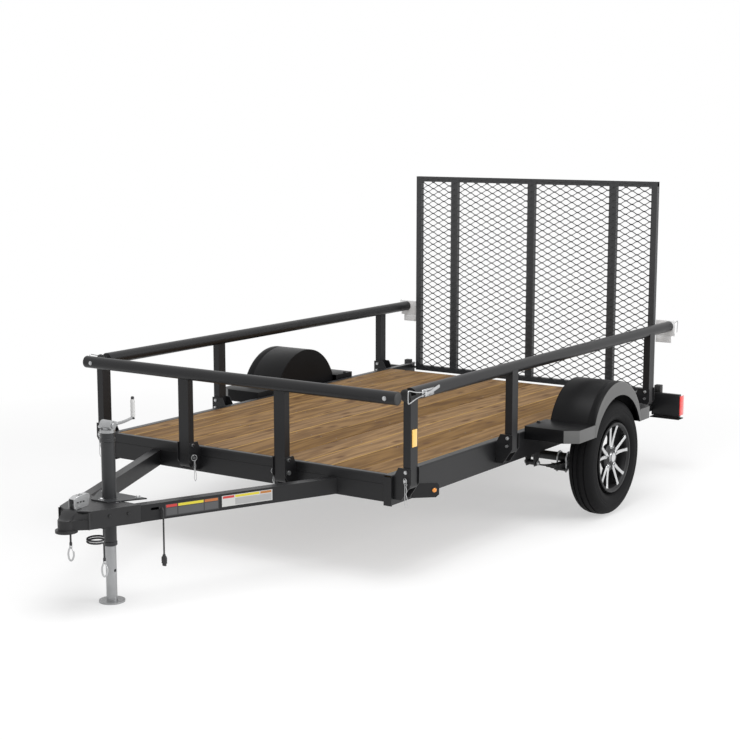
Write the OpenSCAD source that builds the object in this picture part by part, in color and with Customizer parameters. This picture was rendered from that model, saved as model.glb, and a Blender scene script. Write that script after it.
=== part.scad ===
// Single-axle utility trailer with a plank bed, pipe rails and a mesh ramp gate.
// Millimetres. X is across (+X the left side of travel), +Y runs back from the coupler,
// +Z is up, and the origin is on the floor under the middle of the whole trailer.

/* [Bed] */
// Width over the two side channels
bed_w = 1829; // [1500:1:2100]
// Length from the front crossmember to the rear ends of the side channels
bed_l = 3030; // [2900:1:3700]
// Height of the deck above the floor
deck_h = 529; // [510:1:570]
// Length of the sloping tail behind the planks
tail_l = 364; // [330:1:420]
// Thickness of a plank
board_t = 38; // [25:1:45]
// Width of a plank
board_w = 158; // [120:1:200]
// Gap between planks
board_gap = 4; // [2:1:10]

/* [Frame] */
// Depth of a side channel below the deck
side_drop = 144; // [130:1:170]
// Width of the channel flanges
flange_w = 44; // [35:1:60]
// Thickness of the folded steel
steel_t = 4; // [3:0.5:6]
// Number of crossmembers under the planks
cross_n = 5; // [3:1:7]

/* [Tongue] */
// Length from the tip of the coupler to the front crossmember
tongue_l = 1272; // [1150:1:1500]
// Half-width over the tongue arms where they meet the bed
tongue_half = 597; // [540:1:630]
// Height of a tongue arm
arm_h = 78; // [64:1:96]
// Width of a tongue arm
arm_w = 50; // [40:1:56]
// Radius of the hitch ball socket
socket_r = 25.7; // [25:0.1:28]

/* [Jack] */
// Distance from the coupler's tip back to the jack
jack_back = 328; // [310:1:360]
// Outer diameter of the sliding leg
leg_d = 50; // [42:1:62]

/* [Running gear] */
// Distance from the front crossmember back to the axle
axle_back = 1815; // [1700:1:1950]
// Outer diameter of a tyre
tyre_d = 649; // [530:1:680]
// Width of a tyre
tyre_w = 150; // [140:1:180]
// Diameter over the rim flange
rim_d = 395; // [360:1:420]
// Distance from a side channel out to the wheel's face
wheel_out = 295; // [285:1:330]
// Diameter of the axle tube
axle_d = 50; // [45:1:60]
// Height of the spindles above the axle tube
axle_drop = 36; // [25:1:45]

/* [Fenders] */
// Gap between a side channel and the fender's inner wall
fender_gap = 30; // [20:1:40]
// Gap between the top of the tyre and the crown of the fender
crown_gap = 106; // [80:1:120]
// Length of the step pad ahead of the fender
pad_front_l = 224; // [150:1:260]
// Length of the step pad behind the fender
pad_rear_l = 158; // [120:1:260]

/* [Rails] */
// Height of the rail tubes' centre line above the deck
rail_h = 386; // [340:1:450]
// Outer diameter of a rail tube
rail_d = 63.5; // [50:0.5:70]
// Distance from a side channel to the near face of its posts
post_off = 50; // [48:1:60]
// Width of a side post across the trailer
post_w = 41; // [35:1:48]
// Width of a side post along the trailer
post_l = 61; // [45:1:70]
// Half-distance between the centres of the two front posts
front_post_x = 308; // [250:1:330]

/* [Gate] */
// Height of the gate above the deck
gate_h = 1280; // [1150:1:1350]
// Distance from the outside of a side channel in to the gate
gate_side = 32; // [20:1:60]
// Width of the gate's side tubes
gate_bar = 38; // [30:1:50]
// Thickness of the gate's frame
gate_t = 32; // [25:1:36]

/* [Hidden] */
$fn = 48;

// Running clearance round a pin, beside a moving post, and wall of a square tube
pin_gap = 0.4;
side_gap = 2;
wall = 3;
// Clearance between a marker lamp and the plate it is screwed to
lamp_gap = 0.05;
// Outside radius of a bend in folded steel
bend_r = 9;

half_w = bed_w / 2;
rear_over = 20;
bed_front = tongue_l - (tongue_l + bed_l + rear_over) / 2;
bed_rear = bed_front + bed_l;
nose_y = bed_front - tongue_l;
deck_front = bed_front + 31;
deck_rear = bed_rear - tail_l;

board_under = deck_h - board_t;
side_bottom = deck_h - side_drop;
front_bottom = side_bottom + 12;

// Rails: tube centre lines, post faces and the pins they fold on
rail_z = deck_h + rail_h;
front_rail_y = bed_front - 67;
front_rail_half = half_w + 76;
front_post_y = bed_front - 60;
front_post_w = 66;
front_post_l = 39;
front_post_low = deck_h - 79;
front_pin_z = deck_h - 48;
front_bolt_z = deck_h + 16;
side_rail_x = half_w + 60;
side_post_x = half_w + post_off + post_w / 2;
side_post_low = deck_h - 42;
side_pin_z = deck_h - 19;
side_bolt_z = deck_h + 22;
rail_start = bed_front + 64;
rail_end = bed_rear - 7;
post_y = [bed_front + 20, bed_front + 986, bed_rear - 345];
pin_r = 7;
ear_t = 5;
bolt_h = 7;
bolt_r = 9;

// Gate: its hinge line runs through both side channels
gate_half = half_w - gate_side;
gate_y = bed_rear - 14;
gate_z = deck_h - 36;
gate_pin_r = 8;
gate_top = deck_h + gate_h;
gate_low = gate_z - 16;
gate_upright = 50;

// Tongue: outer faces of the two arms meet ahead of the coupler
arm_top = deck_h - 52;
arm_bottom = arm_top - arm_h;
apex_y = nose_y - 93;
arm_slope = tongue_half / (bed_front - apex_y);
arm_angle = atan(arm_slope);
arm_skew = arm_w / cos(arm_angle);
function arm_x(y) = arm_slope * (y - apex_y);
arm_front = nose_y + 110;
ball_y = nose_y + 55;
// Height of the ball's centre in its socket, above the bottom of the arms
ball_up = 14;
skirt_t = 5;

// Jack: sleeves sized on the leg
jack_y = nose_y + jack_back;
sleeve_d = leg_d + 8;
head_d = leg_d + 14;
jack_plate_t = 6;
head_z = arm_top + 314;

// Running gear
axle_y = bed_front + axle_back;
tyre_r = tyre_d / 2;
axle_z = tyre_r;
tube_z = axle_z - axle_drop;
rim_r = rim_d / 2;
wheel_face = half_w + wheel_out;
spindle_r = 16;
hub_x = wheel_face - 60;
stud_ring = 57;
spring_x = half_w - 28;
spring_half = 382;
eye_z = axle_z + 5;
leaf_t = 8;
leaf_step = 10;
leaf_top = tube_z - axle_d / 2;
u_bolt_r = 5;
u_bolt_y = axle_d / 2 + u_bolt_r + 1;

// Fender: its arch springs from the bottom edge and rises over the tyre
fender_t = 3;
fender_out = 12;
fender_x = wheel_face + fender_out;
fender_in = half_w + fender_gap;
fender_bottom = deck_h - 42;
pad_top = deck_h + 29;
arch_half = sqrt(tyre_r * tyre_r - (fender_bottom - axle_z) * (fender_bottom - axle_z)) + 22;
arch_rise = tyre_d + crown_gap - fender_bottom;
arch_r = (arch_half * arch_half + arch_rise * arch_rise) / (2 * arch_rise);
lip_half = arch_half - 25;
lip_rise = arch_rise - 76;
lip_r = (lip_half * lip_half + lip_rise * lip_rise) / (2 * lip_rise);

// Shapes

module block(low, high) {
    translate(low) cube(high - low);
}

// A side outline drawn as (y, z), run from x0 to x1
module along_x(x0, x1) {
    translate([x0, 0, 0]) rotate([90, 0, 90]) linear_extrude(x1 - x0) children();
}

// An outline drawn as (x, z), run from y0 to y1
module along_y(y0, y1) {
    translate([0, y1, 0]) rotate([90, 0, 0]) linear_extrude(y1 - y0) children();
}

module rod_x(x0, x1, r) {
    translate([x0, 0, 0]) rotate([0, 90, 0]) cylinder(r = r, h = x1 - x0);
}

module rod_y(y0, y1, r) {
    translate([0, y0, 0]) rotate([-90, 0, 0]) cylinder(r = r, h = y1 - y0);
}

module both_sides() {
    children();
    mirror([1, 0, 0]) children();
}

module rounded_2d(w, h, r) {
    translate([-w / 2 + r, -h / 2]) square([w - 2 * r, h]);
    translate([-w / 2, -h / 2 + r]) square([w, h - 2 * r]);
    for (x = [-1, 1], y = [-1, 1])
        translate([x * (w / 2 - r), y * (h / 2 - r)]) circle(r = r);
}

// Bed frame

// Quarter bend at the top corner of a folded channel
module bend_2d() {
    intersection() {
        difference() {
            circle(r = bend_r, $fn = 32);
            circle(r = bend_r - steel_t, $fn = 32);
        }
        square(bend_r + 1);
    }
}

// Folded side channel: web outside, flanges turned in at the top and the bottom
module side_section() {
    translate([half_w - steel_t, side_bottom]) square([steel_t, side_drop - bend_r]);
    translate([half_w - flange_w, side_bottom]) square([flange_w, steel_t]);
    translate([half_w - flange_w, deck_h - steel_t]) square([flange_w - bend_r, steel_t]);
    translate([half_w - bend_r, deck_h - bend_r]) bend_2d();
}

module frame_side() {
    color("#2a2b2d") difference() {
        union() {
            along_y(bed_front, bed_rear) side_section();
            // end plate on the front corner
            block([half_w - flange_w, bed_front - 6, side_bottom - 4],
                  [half_w, bed_front, deck_h - 9]);
        }
        // the gate hangs between plain webs
        block([half_w - flange_w - 1, gate_y - 32, side_bottom - 1],
              [half_w - steel_t, bed_rear + 1, deck_h + 1]);
        // open pocket at the front corner
        block([half_w - steel_t - 1, bed_front + 90, side_bottom + 22],
              [half_w + 1, bed_front + 122, board_under - 10]);
        translate([0, gate_y, gate_z]) rod_x(half_w - steel_t - 1, half_w + 1, gate_pin_r + pin_gap);
    }
}

module frame_side_left() {
    frame_side();
}

module frame_side_right() {
    mirror([1, 0, 0]) frame_side();
}

// Front crossmember: a channel with its web forward and a short flange over the plank ends
module frame_front() {
    span = half_w - flange_w;
    groove = deck_h - 46;
    color("#2a2b2d") difference() {
        along_x(-span, span) {
            translate([bed_front, front_bottom]) square([steel_t, deck_h - bend_r - front_bottom]);
            translate([bed_front, front_bottom]) square([flange_w, steel_t]);
            translate([bed_front + bend_r, deck_h - steel_t]) square([28 - bend_r, steel_t]);
            translate([bed_front + bend_r, deck_h - bend_r]) mirror([1, 0]) bend_2d();
        }
        block([-span - 1, bed_front - 1, groove - 2], [span + 1, bed_front + 2, groove + 2]);
    }
}

// Square tube across the rear, under the gate
module frame_rear() {
    span = half_w - flange_w;
    y0 = bed_rear - 95;
    size = 50;
    color("#2a2b2d") difference() {
        block([-span, y0, side_bottom], [span, y0 + size, side_bottom + size]);
        block([-span - 1, y0 + steel_t, side_bottom + steel_t],
              [span + 1, y0 + size - steel_t, side_bottom + size - steel_t]);
    }
}

// Channel crossmembers between the webs of the side channels
module crossmembers() {
    reach = half_w - steel_t;
    depth = 76;
    width = 38;
    pitch = (deck_rear - deck_front - width - 50) / cross_n;
    color("#242527") for (i = [1 : cross_n]) along_x(-reach, reach) {
        y = deck_front + i * pitch;
        translate([y, board_under - depth]) square([steel_t, depth]);
        translate([y, board_under - depth]) square([width, steel_t]);
        translate([y, board_under - steel_t]) square([width, steel_t]);
    }
}

// Planks laid from the left channel; the last one is ripped to fill what is left
module deck_boards() {
    span = 2 * (half_w - flange_w - 3);
    pitch = board_w + board_gap;
    full_n = floor((span + board_gap) / pitch - 0.25);
    color("#a67c52") for (i = [0 : full_n]) {
        x1 = span / 2 - i * pitch;
        x0 = i < full_n ? x1 - board_w : -span / 2;
        block([x0, deck_front, board_under], [x1, deck_rear, deck_h]);
    }
}

// Sloping steel tail from the planks' ends down to the rear crossmember
module tail_apron() {
    reach = half_w - steel_t - 1;
    edge = half_w - flange_w - 3;
    y0 = deck_rear + 3;
    y1 = bed_rear - 42;
    z1 = side_bottom + 58;
    color("#38393b") {
        along_x(-edge, edge)
            polygon([[y0, deck_h], [y0 + 45, deck_h - 11], [y0 + 45, deck_h - 16], [y0 + 4, deck_h - 5],
                     [y0 + 4, board_under], [y0, board_under]]);
        along_x(-reach, reach)
            polygon([[y0 + 45, deck_h - 11], [y1, z1 + 5], [y1, z1 - 25], [y1 - 3, z1 - 25],
                     [y1 - 3, z1], [y0 + 45, deck_h - 16]]);
    }
}

// Tongue

module tongue_arm() {
    color("#2a2b2d") difference() {
        translate([0, 0, arm_bottom]) linear_extrude(arm_h)
            arm_plan(0, arm_front, bed_front);
        translate([0, 0, arm_bottom + wall]) linear_extrude(arm_h - 2 * wall)
            arm_plan(wall, arm_front - 1, bed_front + 1);
        // slot that the wiring comes out of, with its grommet at the rear end
        translate(lead_from) rotate([0, 0, -arm_angle])
            block([-wall - 1, grommet_half - slot_l, -slot_half], [1, grommet_half, slot_half]);
    }
    // lug for the safety cable
    color("#1f2022") translate([cable_x - 12, cable_y - 12, arm_bottom - 6]) cube([24, 24, 6]);
}

// Plan outline of the left arm, drawn inside its outer faces by the given inset
module arm_plan(inset, y0, y1) {
    skew = inset / cos(arm_angle);
    polygon([[arm_x(y0) - skew, y0], [arm_x(y1) - skew, y1],
             [arm_x(y1) - arm_skew + skew, y1], [arm_x(y0) - arm_skew + skew, y0]]);
}

module tongue_left() {
    tongue_arm();
}

module tongue_right() {
    mirror([1, 0, 0]) tongue_arm();
}

// Pressed coupler: solid nose round the ball socket, a cover plate on the arms and a
// skirt down the outer face of each
module coupler() {
    y0 = arm_front;
    y1 = nose_y + 330;
    nose_r = 38;
    rim = 50;
    nose_top = arm_top - 34;
    body_y = y0 - 2;
    ramp_y = y0 - 28;
    cover_t = 5;
    color("#1f2022") difference() {
        union() {
            translate([0, 0, arm_top]) linear_extrude(cover_t)
                polygon([[-arm_x(y1) - skirt_t, y1], [-arm_x(y0) - skirt_t, y0], [-nose_r, ramp_y],
                         [nose_r, ramp_y], [arm_x(y0) + skirt_t, y0], [arm_x(y1) + skirt_t, y1],
                         [90, y1], [70, y1 - 42], [-70, y1 - 42], [-90, y1]]);
            both_sides() translate([0, 0, arm_bottom]) linear_extrude(arm_h)
                polygon([[arm_x(y0), body_y - 8], [arm_x(y0), y0], [arm_x(y1), y1],
                         [arm_x(y1) + skirt_t, y1], [arm_x(y0) + skirt_t, y0],
                         [arm_x(y0) + skirt_t, body_y - 8]]);
            translate([0, ball_y, arm_bottom]) cylinder(r = nose_r, h = nose_top - arm_bottom);
            translate([0, ball_y, arm_bottom - 12]) cylinder(r = rim, h = 12);
            translate([0, 0, arm_bottom]) linear_extrude(nose_top - arm_bottom)
                polygon([[-nose_r, ball_y], [nose_r, ball_y], [arm_x(y0) + skirt_t, body_y],
                         [-arm_x(y0) - skirt_t, body_y]]);
            along_x(-nose_r, nose_r)
                polygon([[ramp_y - 40, nose_top], [ramp_y, arm_top + cover_t],
                         [body_y, arm_top + cover_t], [body_y, nose_top]]);
        }
        translate([0, ball_y, arm_bottom - 13]) cylinder(r = socket_r, h = 13 + ball_up);
        translate([0, ball_y, arm_bottom + ball_up]) sphere(r = socket_r);
        for (y = [nose_y + 194, nose_y + 277])
            translate([0, y, arm_top - 28]) both_sides() rod_x(arm_x(y) - 1, arm_x(y) + 14, 5);
    }
}

// Latch lever on top of the coupler
module coupler_latch() {
    y0 = arm_front - 20;
    z0 = arm_top + 5;
    color("#c9cacc") along_x(-17, 17)
        polygon([[y0, z0], [y0 + 4, z0 + 36], [y0 + 56, z0 + 58], [y0 + 100, z0 + 44],
                 [y0 + 100, z0 + 38], [y0 + 60, z0 + 46], [y0 + 52, z0]]);
}

// Jack

module jack_tube() {
    low = deck_h - 263;
    color("#3a3b3d") translate([0, jack_y, 0]) difference() {
        union() {
            translate([0, 0, arm_top]) cylinder(d = head_d, h = head_z - arm_top);
            translate([0, 0, low]) cylinder(d = sleeve_d, h = arm_top + 1 - low);
            // flange plate on the coupler's cover
            translate([0, 0, arm_top + 5]) linear_extrude(jack_plate_t)
                polygon([[-50, -66], [50, -66], [145, 92], [-145, 92]]);
        }
        translate([0, 0, low - 1]) cylinder(d = leg_d + 1, h = deck_h + 200 - low);
        for (p = [[0, -50], [-105, 76], [105, 76]])
            translate([p.x, p.y, arm_top]) cylinder(r = 6, h = 20);
    }
}

// Gear case on top of the jack
module jack_head() {
    color("#b4b6b8") translate([0, jack_y, 0]) {
        translate([0, 0, head_z]) cylinder(d = head_d + 6, h = 14);
        translate([0, 0, head_z + 14]) cylinder(d = 44, h = 10);
        translate([0, 0, head_z + 34]) rod_x(-30, 34, 22);
        translate([0, 0, head_z + 30]) rod_y(0, 45, 12);
    }
}

module jack_crank() {
    y0 = jack_y + 45;
    z0 = head_z + 30;
    arm = 122;
    color("#d5d6d8") {
        translate([0, y0, z0]) rod_y(0, 12, 12);
        along_x(-4, 4) polygon([[y0 + 12, z0 - 8], [y0 + arm + 12, z0 + 4], [y0 + arm + 12, z0 + 16],
                                [y0 + 12, z0 + 8]]);
        translate([0, y0 + arm, z0 + 12]) cylinder(r = 11, h = 98);
    }
}

// Sliding leg with its foot on the floor
module jack_leg() {
    foot_t = 8;
    color("#c2c4c6") translate([0, jack_y, 0]) difference() {
        union() {
            cylinder(d = leg_d, h = deck_h - 34);
            cylinder(d = leg_d + 70, h = foot_t);
        }
        translate([0, 0, foot_t]) cylinder(d = leg_d - 8, h = deck_h);
        translate([0, 0, 150]) rod_x(-leg_d, leg_d, 7);
    }
}

// Running gear

// Drop axle: tube across, a short arm up to each spindle
module axle() {
    tube_half = wheel_face - tyre_w + 4;
    plug_l = 22;
    color("#2a2b2d") translate([0, axle_y, 0]) difference() {
        union() {
            translate([0, 0, tube_z]) rod_x(-tube_half, tube_half, axle_d / 2);
            both_sides() {
                block([tube_half - plug_l, -axle_d / 2, tube_z], [tube_half, axle_d / 2, axle_z]);
                translate([0, 0, axle_z]) rod_x(tube_half - plug_l, tube_half, axle_d / 2);
                translate([0, 0, axle_z]) rod_x(tube_half, hub_x, spindle_r);
            }
        }
        translate([0, 0, tube_z]) rod_x(-spring_x + 120, spring_x - 120, axle_d / 2 - wall);
        translate([0, 0, tube_z - axle_d]) cylinder(r = 4, h = axle_d);
    }
}

// One leaf as a shallow bow through its two ends, hung under the axle
function bow_z(y) = eye_z - (eye_z - leaf_top) * (1 - pow(y / spring_half, 2));
module leaf(half, index) {
    top = [for (y = [-half : leaf_step : half]) [y, bow_z(y) - index * leaf_t]];
    low = [for (y = [half : -leaf_step : -half]) [y, bow_z(y) - (index + 1) * leaf_t]];
    along_x(-20, 20) polygon(concat(top, low));
}

module spring() {
    leaf_low = leaf_top - 4 * leaf_t;
    hanger = 34;
    color("#2d2e30") translate([spring_x, axle_y, 0]) {
        for (i = [0 : 3]) leaf(i == 0 ? spring_half - 2 : 230 - 50 * i, i);
        for (s = [-1, 1]) {
            translate([0, s * spring_half, eye_z]) rod_x(-22, 22, 15);
            // hanger cheeks and eye bolt
            for (x = [-27, 22]) along_x(x, x + ear_t)
                translate([s * spring_half, 0])
                    polygon([[-hanger, side_bottom], [hanger, side_bottom], [hanger - 12, eye_z - 18],
                             [12 - hanger, eye_z - 18]]);
            translate([0, s * spring_half, eye_z]) rod_x(-36, 36, pin_r);
        }
        // tie plate under the leaves and the two U-bolts round the axle
        translate([0, 0, leaf_low - 5]) cube([70, 110, 10], center = true);
        for (y = [-1, 1], x = [-28, 28])
            translate([x, y * u_bolt_y, leaf_low - 22])
                cylinder(r = u_bolt_r, h = tube_z - leaf_low + 22);
        for (x = [-28, 28]) translate([x, 0, tube_z]) rotate([90, 0, 90])
            rotate_extrude(angle = 180) translate([u_bolt_y, 0]) circle(r = u_bolt_r);
    }
}

module springs() {
    both_sides() spring();
}

module hub() {
    flange_x = 6;
    color("#7d8083") translate([hub_x, axle_y, axle_z]) difference() {
        union() {
            rod_x(-50, flange_x, 42);
            rod_x(-2, flange_x, 72);
            rod_x(0, 44, 30);
            for (a = [0 : 72 : 288]) rotate([a, 0, 0]) translate([0, 0, stud_ring]) rod_x(0, 26, 6);
        }
        rod_x(-60, 2, spindle_r + pin_gap);
    }
}

module hub_left() {
    hub();
}

module hub_right() {
    mirror([1, 0, 0]) hub();
}

// Cast wheel: barrel, centre disc and five pairs of spokes
module rim() {
    disc_x = hub_x + 6;
    in_x = wheel_face - tyre_w + 14;
    out_x = wheel_face - 8;
    disc_r = 80;
    color("#d9dadc") translate([0, axle_y, axle_z]) {
        rotate([0, 90, 0]) rotate_extrude()
            polygon([[rim_r - 24, in_x], [rim_r, in_x], [rim_r, in_x + 6], [rim_r - 18, in_x + 12],
                     [rim_r - 18, out_x - 12], [rim_r, out_x - 6], [rim_r, out_x],
                     [rim_r - 10, out_x], [rim_r - 24, out_x - 14]]);
        difference() {
            union() {
                rod_x(disc_x, disc_x + 22, disc_r);
                for (a = [0 : 72 : 288], b = [-13, 13]) rotate([a + b, 0, 0])
                    translate([disc_x + 2, -9, disc_r - 20]) cube([24, 18, rim_r - disc_r - 1]);
            }
            rod_x(disc_x - 1, disc_x + 30, 31);
            for (a = [0 : 72 : 288]) rotate([a, 0, 0]) translate([0, 0, stud_ring])
                rod_x(disc_x - 1, disc_x + 30, 7);
        }
    }
}

module rim_left() {
    rim();
}

module rim_right() {
    mirror([1, 0, 0]) rim();
}

// Hollow tyre: sidewalls and tread above the flanges, beads seated between them
module tyre() {
    seat = rim_r - 18;
    mid = wheel_face - tyre_w / 2;
    section = tyre_r - rim_r - 1;
    shoulder = section * 0.43;
    bead_w = tyre_w - 50;
    color("#1b1b1c") translate([0, axle_y, axle_z]) rotate([0, 90, 0]) rotate_extrude() difference() {
        union() {
            translate([tyre_r - section / 2, mid]) rounded_2d(section, tyre_w, shoulder);
            translate([seat + 0.1, mid - bead_w / 2 + 3]) square([shoulder + 18, bead_w - 2]);
        }
        translate([seat - 1, mid - bead_w / 2 + 16]) square([tyre_r - seat - 15, bead_w - 28]);
    }
}

module tyre_left() {
    tyre();
}

module tyre_right() {
    mirror([1, 0, 0]) tyre();
}

// Fender: arched cover, inner wall, crescent lip outside and a step pad at each end

module arch_2d() {
    intersection() {
        translate([axle_y, fender_bottom + arch_rise - arch_r]) circle(r = arch_r, $fn = 96);
        translate([axle_y - arch_half - 1, fender_bottom]) square([2 * arch_half + 2, arch_rise + 1]);
    }
}

// Plan of a step pad, from just inside the arch's foot out to its cut outer corner
module pad_plan(length, inset) {
    x1 = fender_x - 2 - inset;
    y1 = length - inset;
    polygon([[half_w + inset, -18 - inset], [x1, -18 - inset], [x1, y1 - 52], [x1 - 70, y1],
             [half_w + inset, y1]]);
}

module step_pad(length) {
    difference() {
        translate([0, 0, fender_bottom]) linear_extrude(pad_top - fender_bottom) pad_plan(length, 0);
        translate([0, 0, fender_bottom - 1]) linear_extrude(pad_top - fender_bottom + 1 - fender_t)
            pad_plan(length, fender_t);
    }
}

module fender() {
    color("#242527") {
        along_x(fender_in, fender_x) difference() {
            arch_2d();
            translate([axle_y, fender_bottom + arch_rise - arch_r])
                circle(r = arch_r - fender_t, $fn = 96);
        }
        along_x(fender_in, fender_in + fender_t) arch_2d();
        along_x(fender_x - fender_t, fender_x) difference() {
            arch_2d();
            translate([axle_y, fender_bottom + lip_rise - lip_r]) circle(r = lip_r, $fn = 96);
        }
        translate([0, axle_y + arch_half, 0]) step_pad(pad_rear_l);
        translate([0, axle_y - arch_half, 0]) mirror([0, 1, 0]) step_pad(pad_front_l);
    }
}

module fender_left() {
    fender();
}

module fender_right() {
    mirror([1, 0, 0]) fender();
}

// Post brackets: two ears and a base plate for each post

module side_ear() {
    foot_z = side_bottom + 28;
    reach = half_w + post_off + post_w + 7;
    polygon([[half_w, foot_z], [half_w, deck_h - 10], [half_w + 26, deck_h + 40], [reach, deck_h + 40],
             [reach, deck_h - 36], [half_w + 44, foot_z]]);
}

module side_bracket(y) {
    low = y - side_gap;
    high = y + post_l + side_gap;
    difference() {
        union() {
            along_y(low - ear_t, low) side_ear();
            along_y(high, high + ear_t) side_ear();
            block([half_w, low - ear_t, side_bottom + 28], [half_w + ear_t, high + ear_t, deck_h - 10]);
        }
        translate([side_post_x, 0, side_pin_z]) rod_y(low - 20, high + 20, pin_r + pin_gap);
    }
}

module front_ear() {
    reach = bed_front - 88;
    polygon([[bed_front, front_bottom + 12], [bed_front, deck_h - 10], [bed_front - 20, deck_h + 30],
             [reach, deck_h + 30], [reach, deck_h - 60], [bed_front - 50, front_bottom + 22]]);
}

module front_bracket(x) {
    ear_x = front_post_w / 2 + side_gap;
    difference() {
        union() {
            along_x(x - ear_x - ear_t, x - ear_x) front_ear();
            along_x(x + ear_x, x + ear_x + ear_t) front_ear();
            block([x - ear_x - ear_t, bed_front - 3, front_bottom + 12],
                  [x + ear_x + ear_t, bed_front, deck_h - 10]);
        }
        translate([0, front_post_y, front_pin_z]) rod_x(x - 60, x + 60, pin_r + pin_gap);
    }
}

module post_brackets() {
    color("#1f2022") {
        both_sides() for (y = post_y) side_bracket(y);
        for (s = [-1, 1]) front_bracket(s * front_post_x);
    }
}

// Pins the rails fold on, with a collar each, and the heads of the lock bolts above them
module rail_pins() {
    reach = side_gap + ear_t;
    collar_r = 11;
    tail = 14;
    head = 8;
    color("#c9cacc") {
        both_sides() for (y = post_y) {
            low = y - reach;
            high = y + post_l + reach;
            translate([side_post_x, 0, side_pin_z]) {
                rod_y(low - tail, high + head, pin_r);
                rod_y(high, high + head, collar_r);
            }
            translate([side_post_x, 0, side_bolt_z]) {
                rod_y(low - bolt_h, low, bolt_r);
                rod_y(high, high + bolt_h, bolt_r);
            }
        }
        both_sides() translate([front_post_x, front_post_y, 0]) {
            side = front_post_w / 2 + reach;
            translate([0, 0, front_pin_z]) {
                rod_x(-side - tail, side + head, pin_r);
                rod_x(side, side + head, collar_r);
            }
            translate([0, 0, front_bolt_z]) {
                rod_x(-side - bolt_h, -side, bolt_r);
                rod_x(side, side + bolt_h, bolt_r);
            }
        }
    }
}

// Rails

module side_rail() {
    color("#2a2b2d") difference() {
        union() {
            translate([side_rail_x, 0, rail_z]) rod_y(rail_start, rail_end, rail_d / 2);
            for (y = post_y) translate([side_post_x, y, 0]) {
                block([-post_w / 2, 0, side_post_low], [post_w / 2, post_l, rail_z]);
                translate([0, 0, side_post_low]) rod_y(0, post_l, post_w / 2);
            }
        }
        translate([side_rail_x, 0, rail_z])
            rod_y(rail_start + wall, rail_end - wall, rail_d / 2 - wall);
        for (y = post_y) translate([side_post_x, y, 0]) {
            block([-post_w / 2 + wall, wall, side_post_low], [post_w / 2 - wall, post_l - wall, rail_z]);
            translate([0, 0, side_pin_z]) rod_y(-1, post_l + 1, pin_r + pin_gap);
        }
        translate([side_rail_x, bed_front + 500, rail_z - rail_d]) cylinder(r = 4, h = rail_d);
    }
}

module rail_left() {
    side_rail();
}

module rail_right() {
    mirror([1, 0, 0]) side_rail();
}

module front_rail() {
    w = front_post_w / 2;
    l = front_post_l / 2;
    color("#2a2b2d") difference() {
        union() {
            translate([0, front_rail_y, rail_z]) rod_x(-front_rail_half, front_rail_half, rail_d / 2);
            for (s = [-1, 1]) translate([s * front_post_x, front_post_y, 0]) {
                block([-w, -l, front_post_low], [w, l, rail_z]);
                translate([0, 0, front_post_low]) rod_x(-w, w, l);
            }
        }
        translate([0, front_rail_y, rail_z])
            rod_x(-front_rail_half + wall, front_rail_half - wall, rail_d / 2 - wall);
        for (s = [-1, 1]) translate([s * front_post_x, front_post_y, 0]) {
            block([-w + wall, -l + wall, front_post_low], [w - wall, l - wall, rail_z]);
            translate([0, 0, front_pin_z]) rod_x(-w - 1, w + 1, pin_r + pin_gap);
        }
        translate([0, front_rail_y, rail_z - rail_d]) cylinder(r = 4, h = rail_d);
    }
}

// Draw latch that ties a side rail to the front rail: plate, body and lever
module latch_front() {
    x0 = side_rail_x + rail_d / 2;
    color("#d2d4d6") {
        block([x0, rail_start + 90, rail_z - 18], [x0 + 4, rail_start + 200, rail_z + 18]);
        block([x0 + 4, rail_start + 100, rail_z - 14], [x0 + 16, rail_start + 180, rail_z + 14]);
        block([x0 + 4, rail_start + 180, rail_z - 6], [x0 + 12, rail_start + 240, rail_z + 18]);
    }
}

// Plate and draw latch on a rail's rear end that hold the gate upright
module latch_rear() {
    x0 = gate_half + 7;
    color("#c9cacc") {
        block([x0, rail_end, rail_z - 60], [half_w + 103, rail_end + 5, rail_z + 36]);
        block([x0, rail_end, rail_z - 104], [half_w + 80, rail_end + 4, rail_z - 60]);
        block([side_rail_x + 5, rail_end + 5, rail_z - 20],
              [side_rail_x + 35, bed_rear + rear_over, rail_z + 20]);
    }
}

module latches_left() {
    latch_front();
    latch_rear();
}

module latches_right() {
    mirror([1, 0, 0]) latches_left();
}

// Gate: tube frame with three inner uprights, hung on two pins

module gate_frame() {
    bar_h = 34;
    y0 = gate_y - gate_t / 2;
    y1 = gate_y + gate_t / 2;
    inner_x = 0.66 * gate_half;
    // each upright's near edge and width
    bars = [[-gate_half, gate_bar], [-inner_x - gate_upright / 2, gate_upright],
            [-gate_upright / 2, gate_upright], [inner_x - gate_upright / 2, gate_upright],
            [gate_half - gate_bar, gate_bar]];
    color("#2c2d2f") difference() {
        union() {
            for (b = bars)
                block([b[0], y0, gate_low], [b[0] + b[1], y1, gate_top]);
            for (z = [gate_low, gate_top - bar_h])
                block([-gate_half, y0, z], [gate_half, y1, z + bar_h]);
            both_sides() translate([0, gate_y, gate_z])
                rod_x(gate_half - 10, half_w + 8, gate_pin_r);
        }
        for (b = bars)
            block([b[0] + wall, y0 + wall, gate_low + bar_h + 1],
                  [b[0] + b[1] - wall, y1 - wall, gate_top - wall]);
        block([-gate_half - 1, y0 + wall, gate_top - bar_h + wall],
              [gate_half + 1, y1 - wall, gate_top - wall]);
    }
}

module gate_mesh() {
    mesh_t = 2;
    y1 = gate_y - gate_t / 2;
    color("#3c3d40") block([-gate_half + 10, y1 - mesh_t, gate_z - 8], [gate_half - 10, y1, gate_top - 12]);
}

// Lamps

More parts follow.
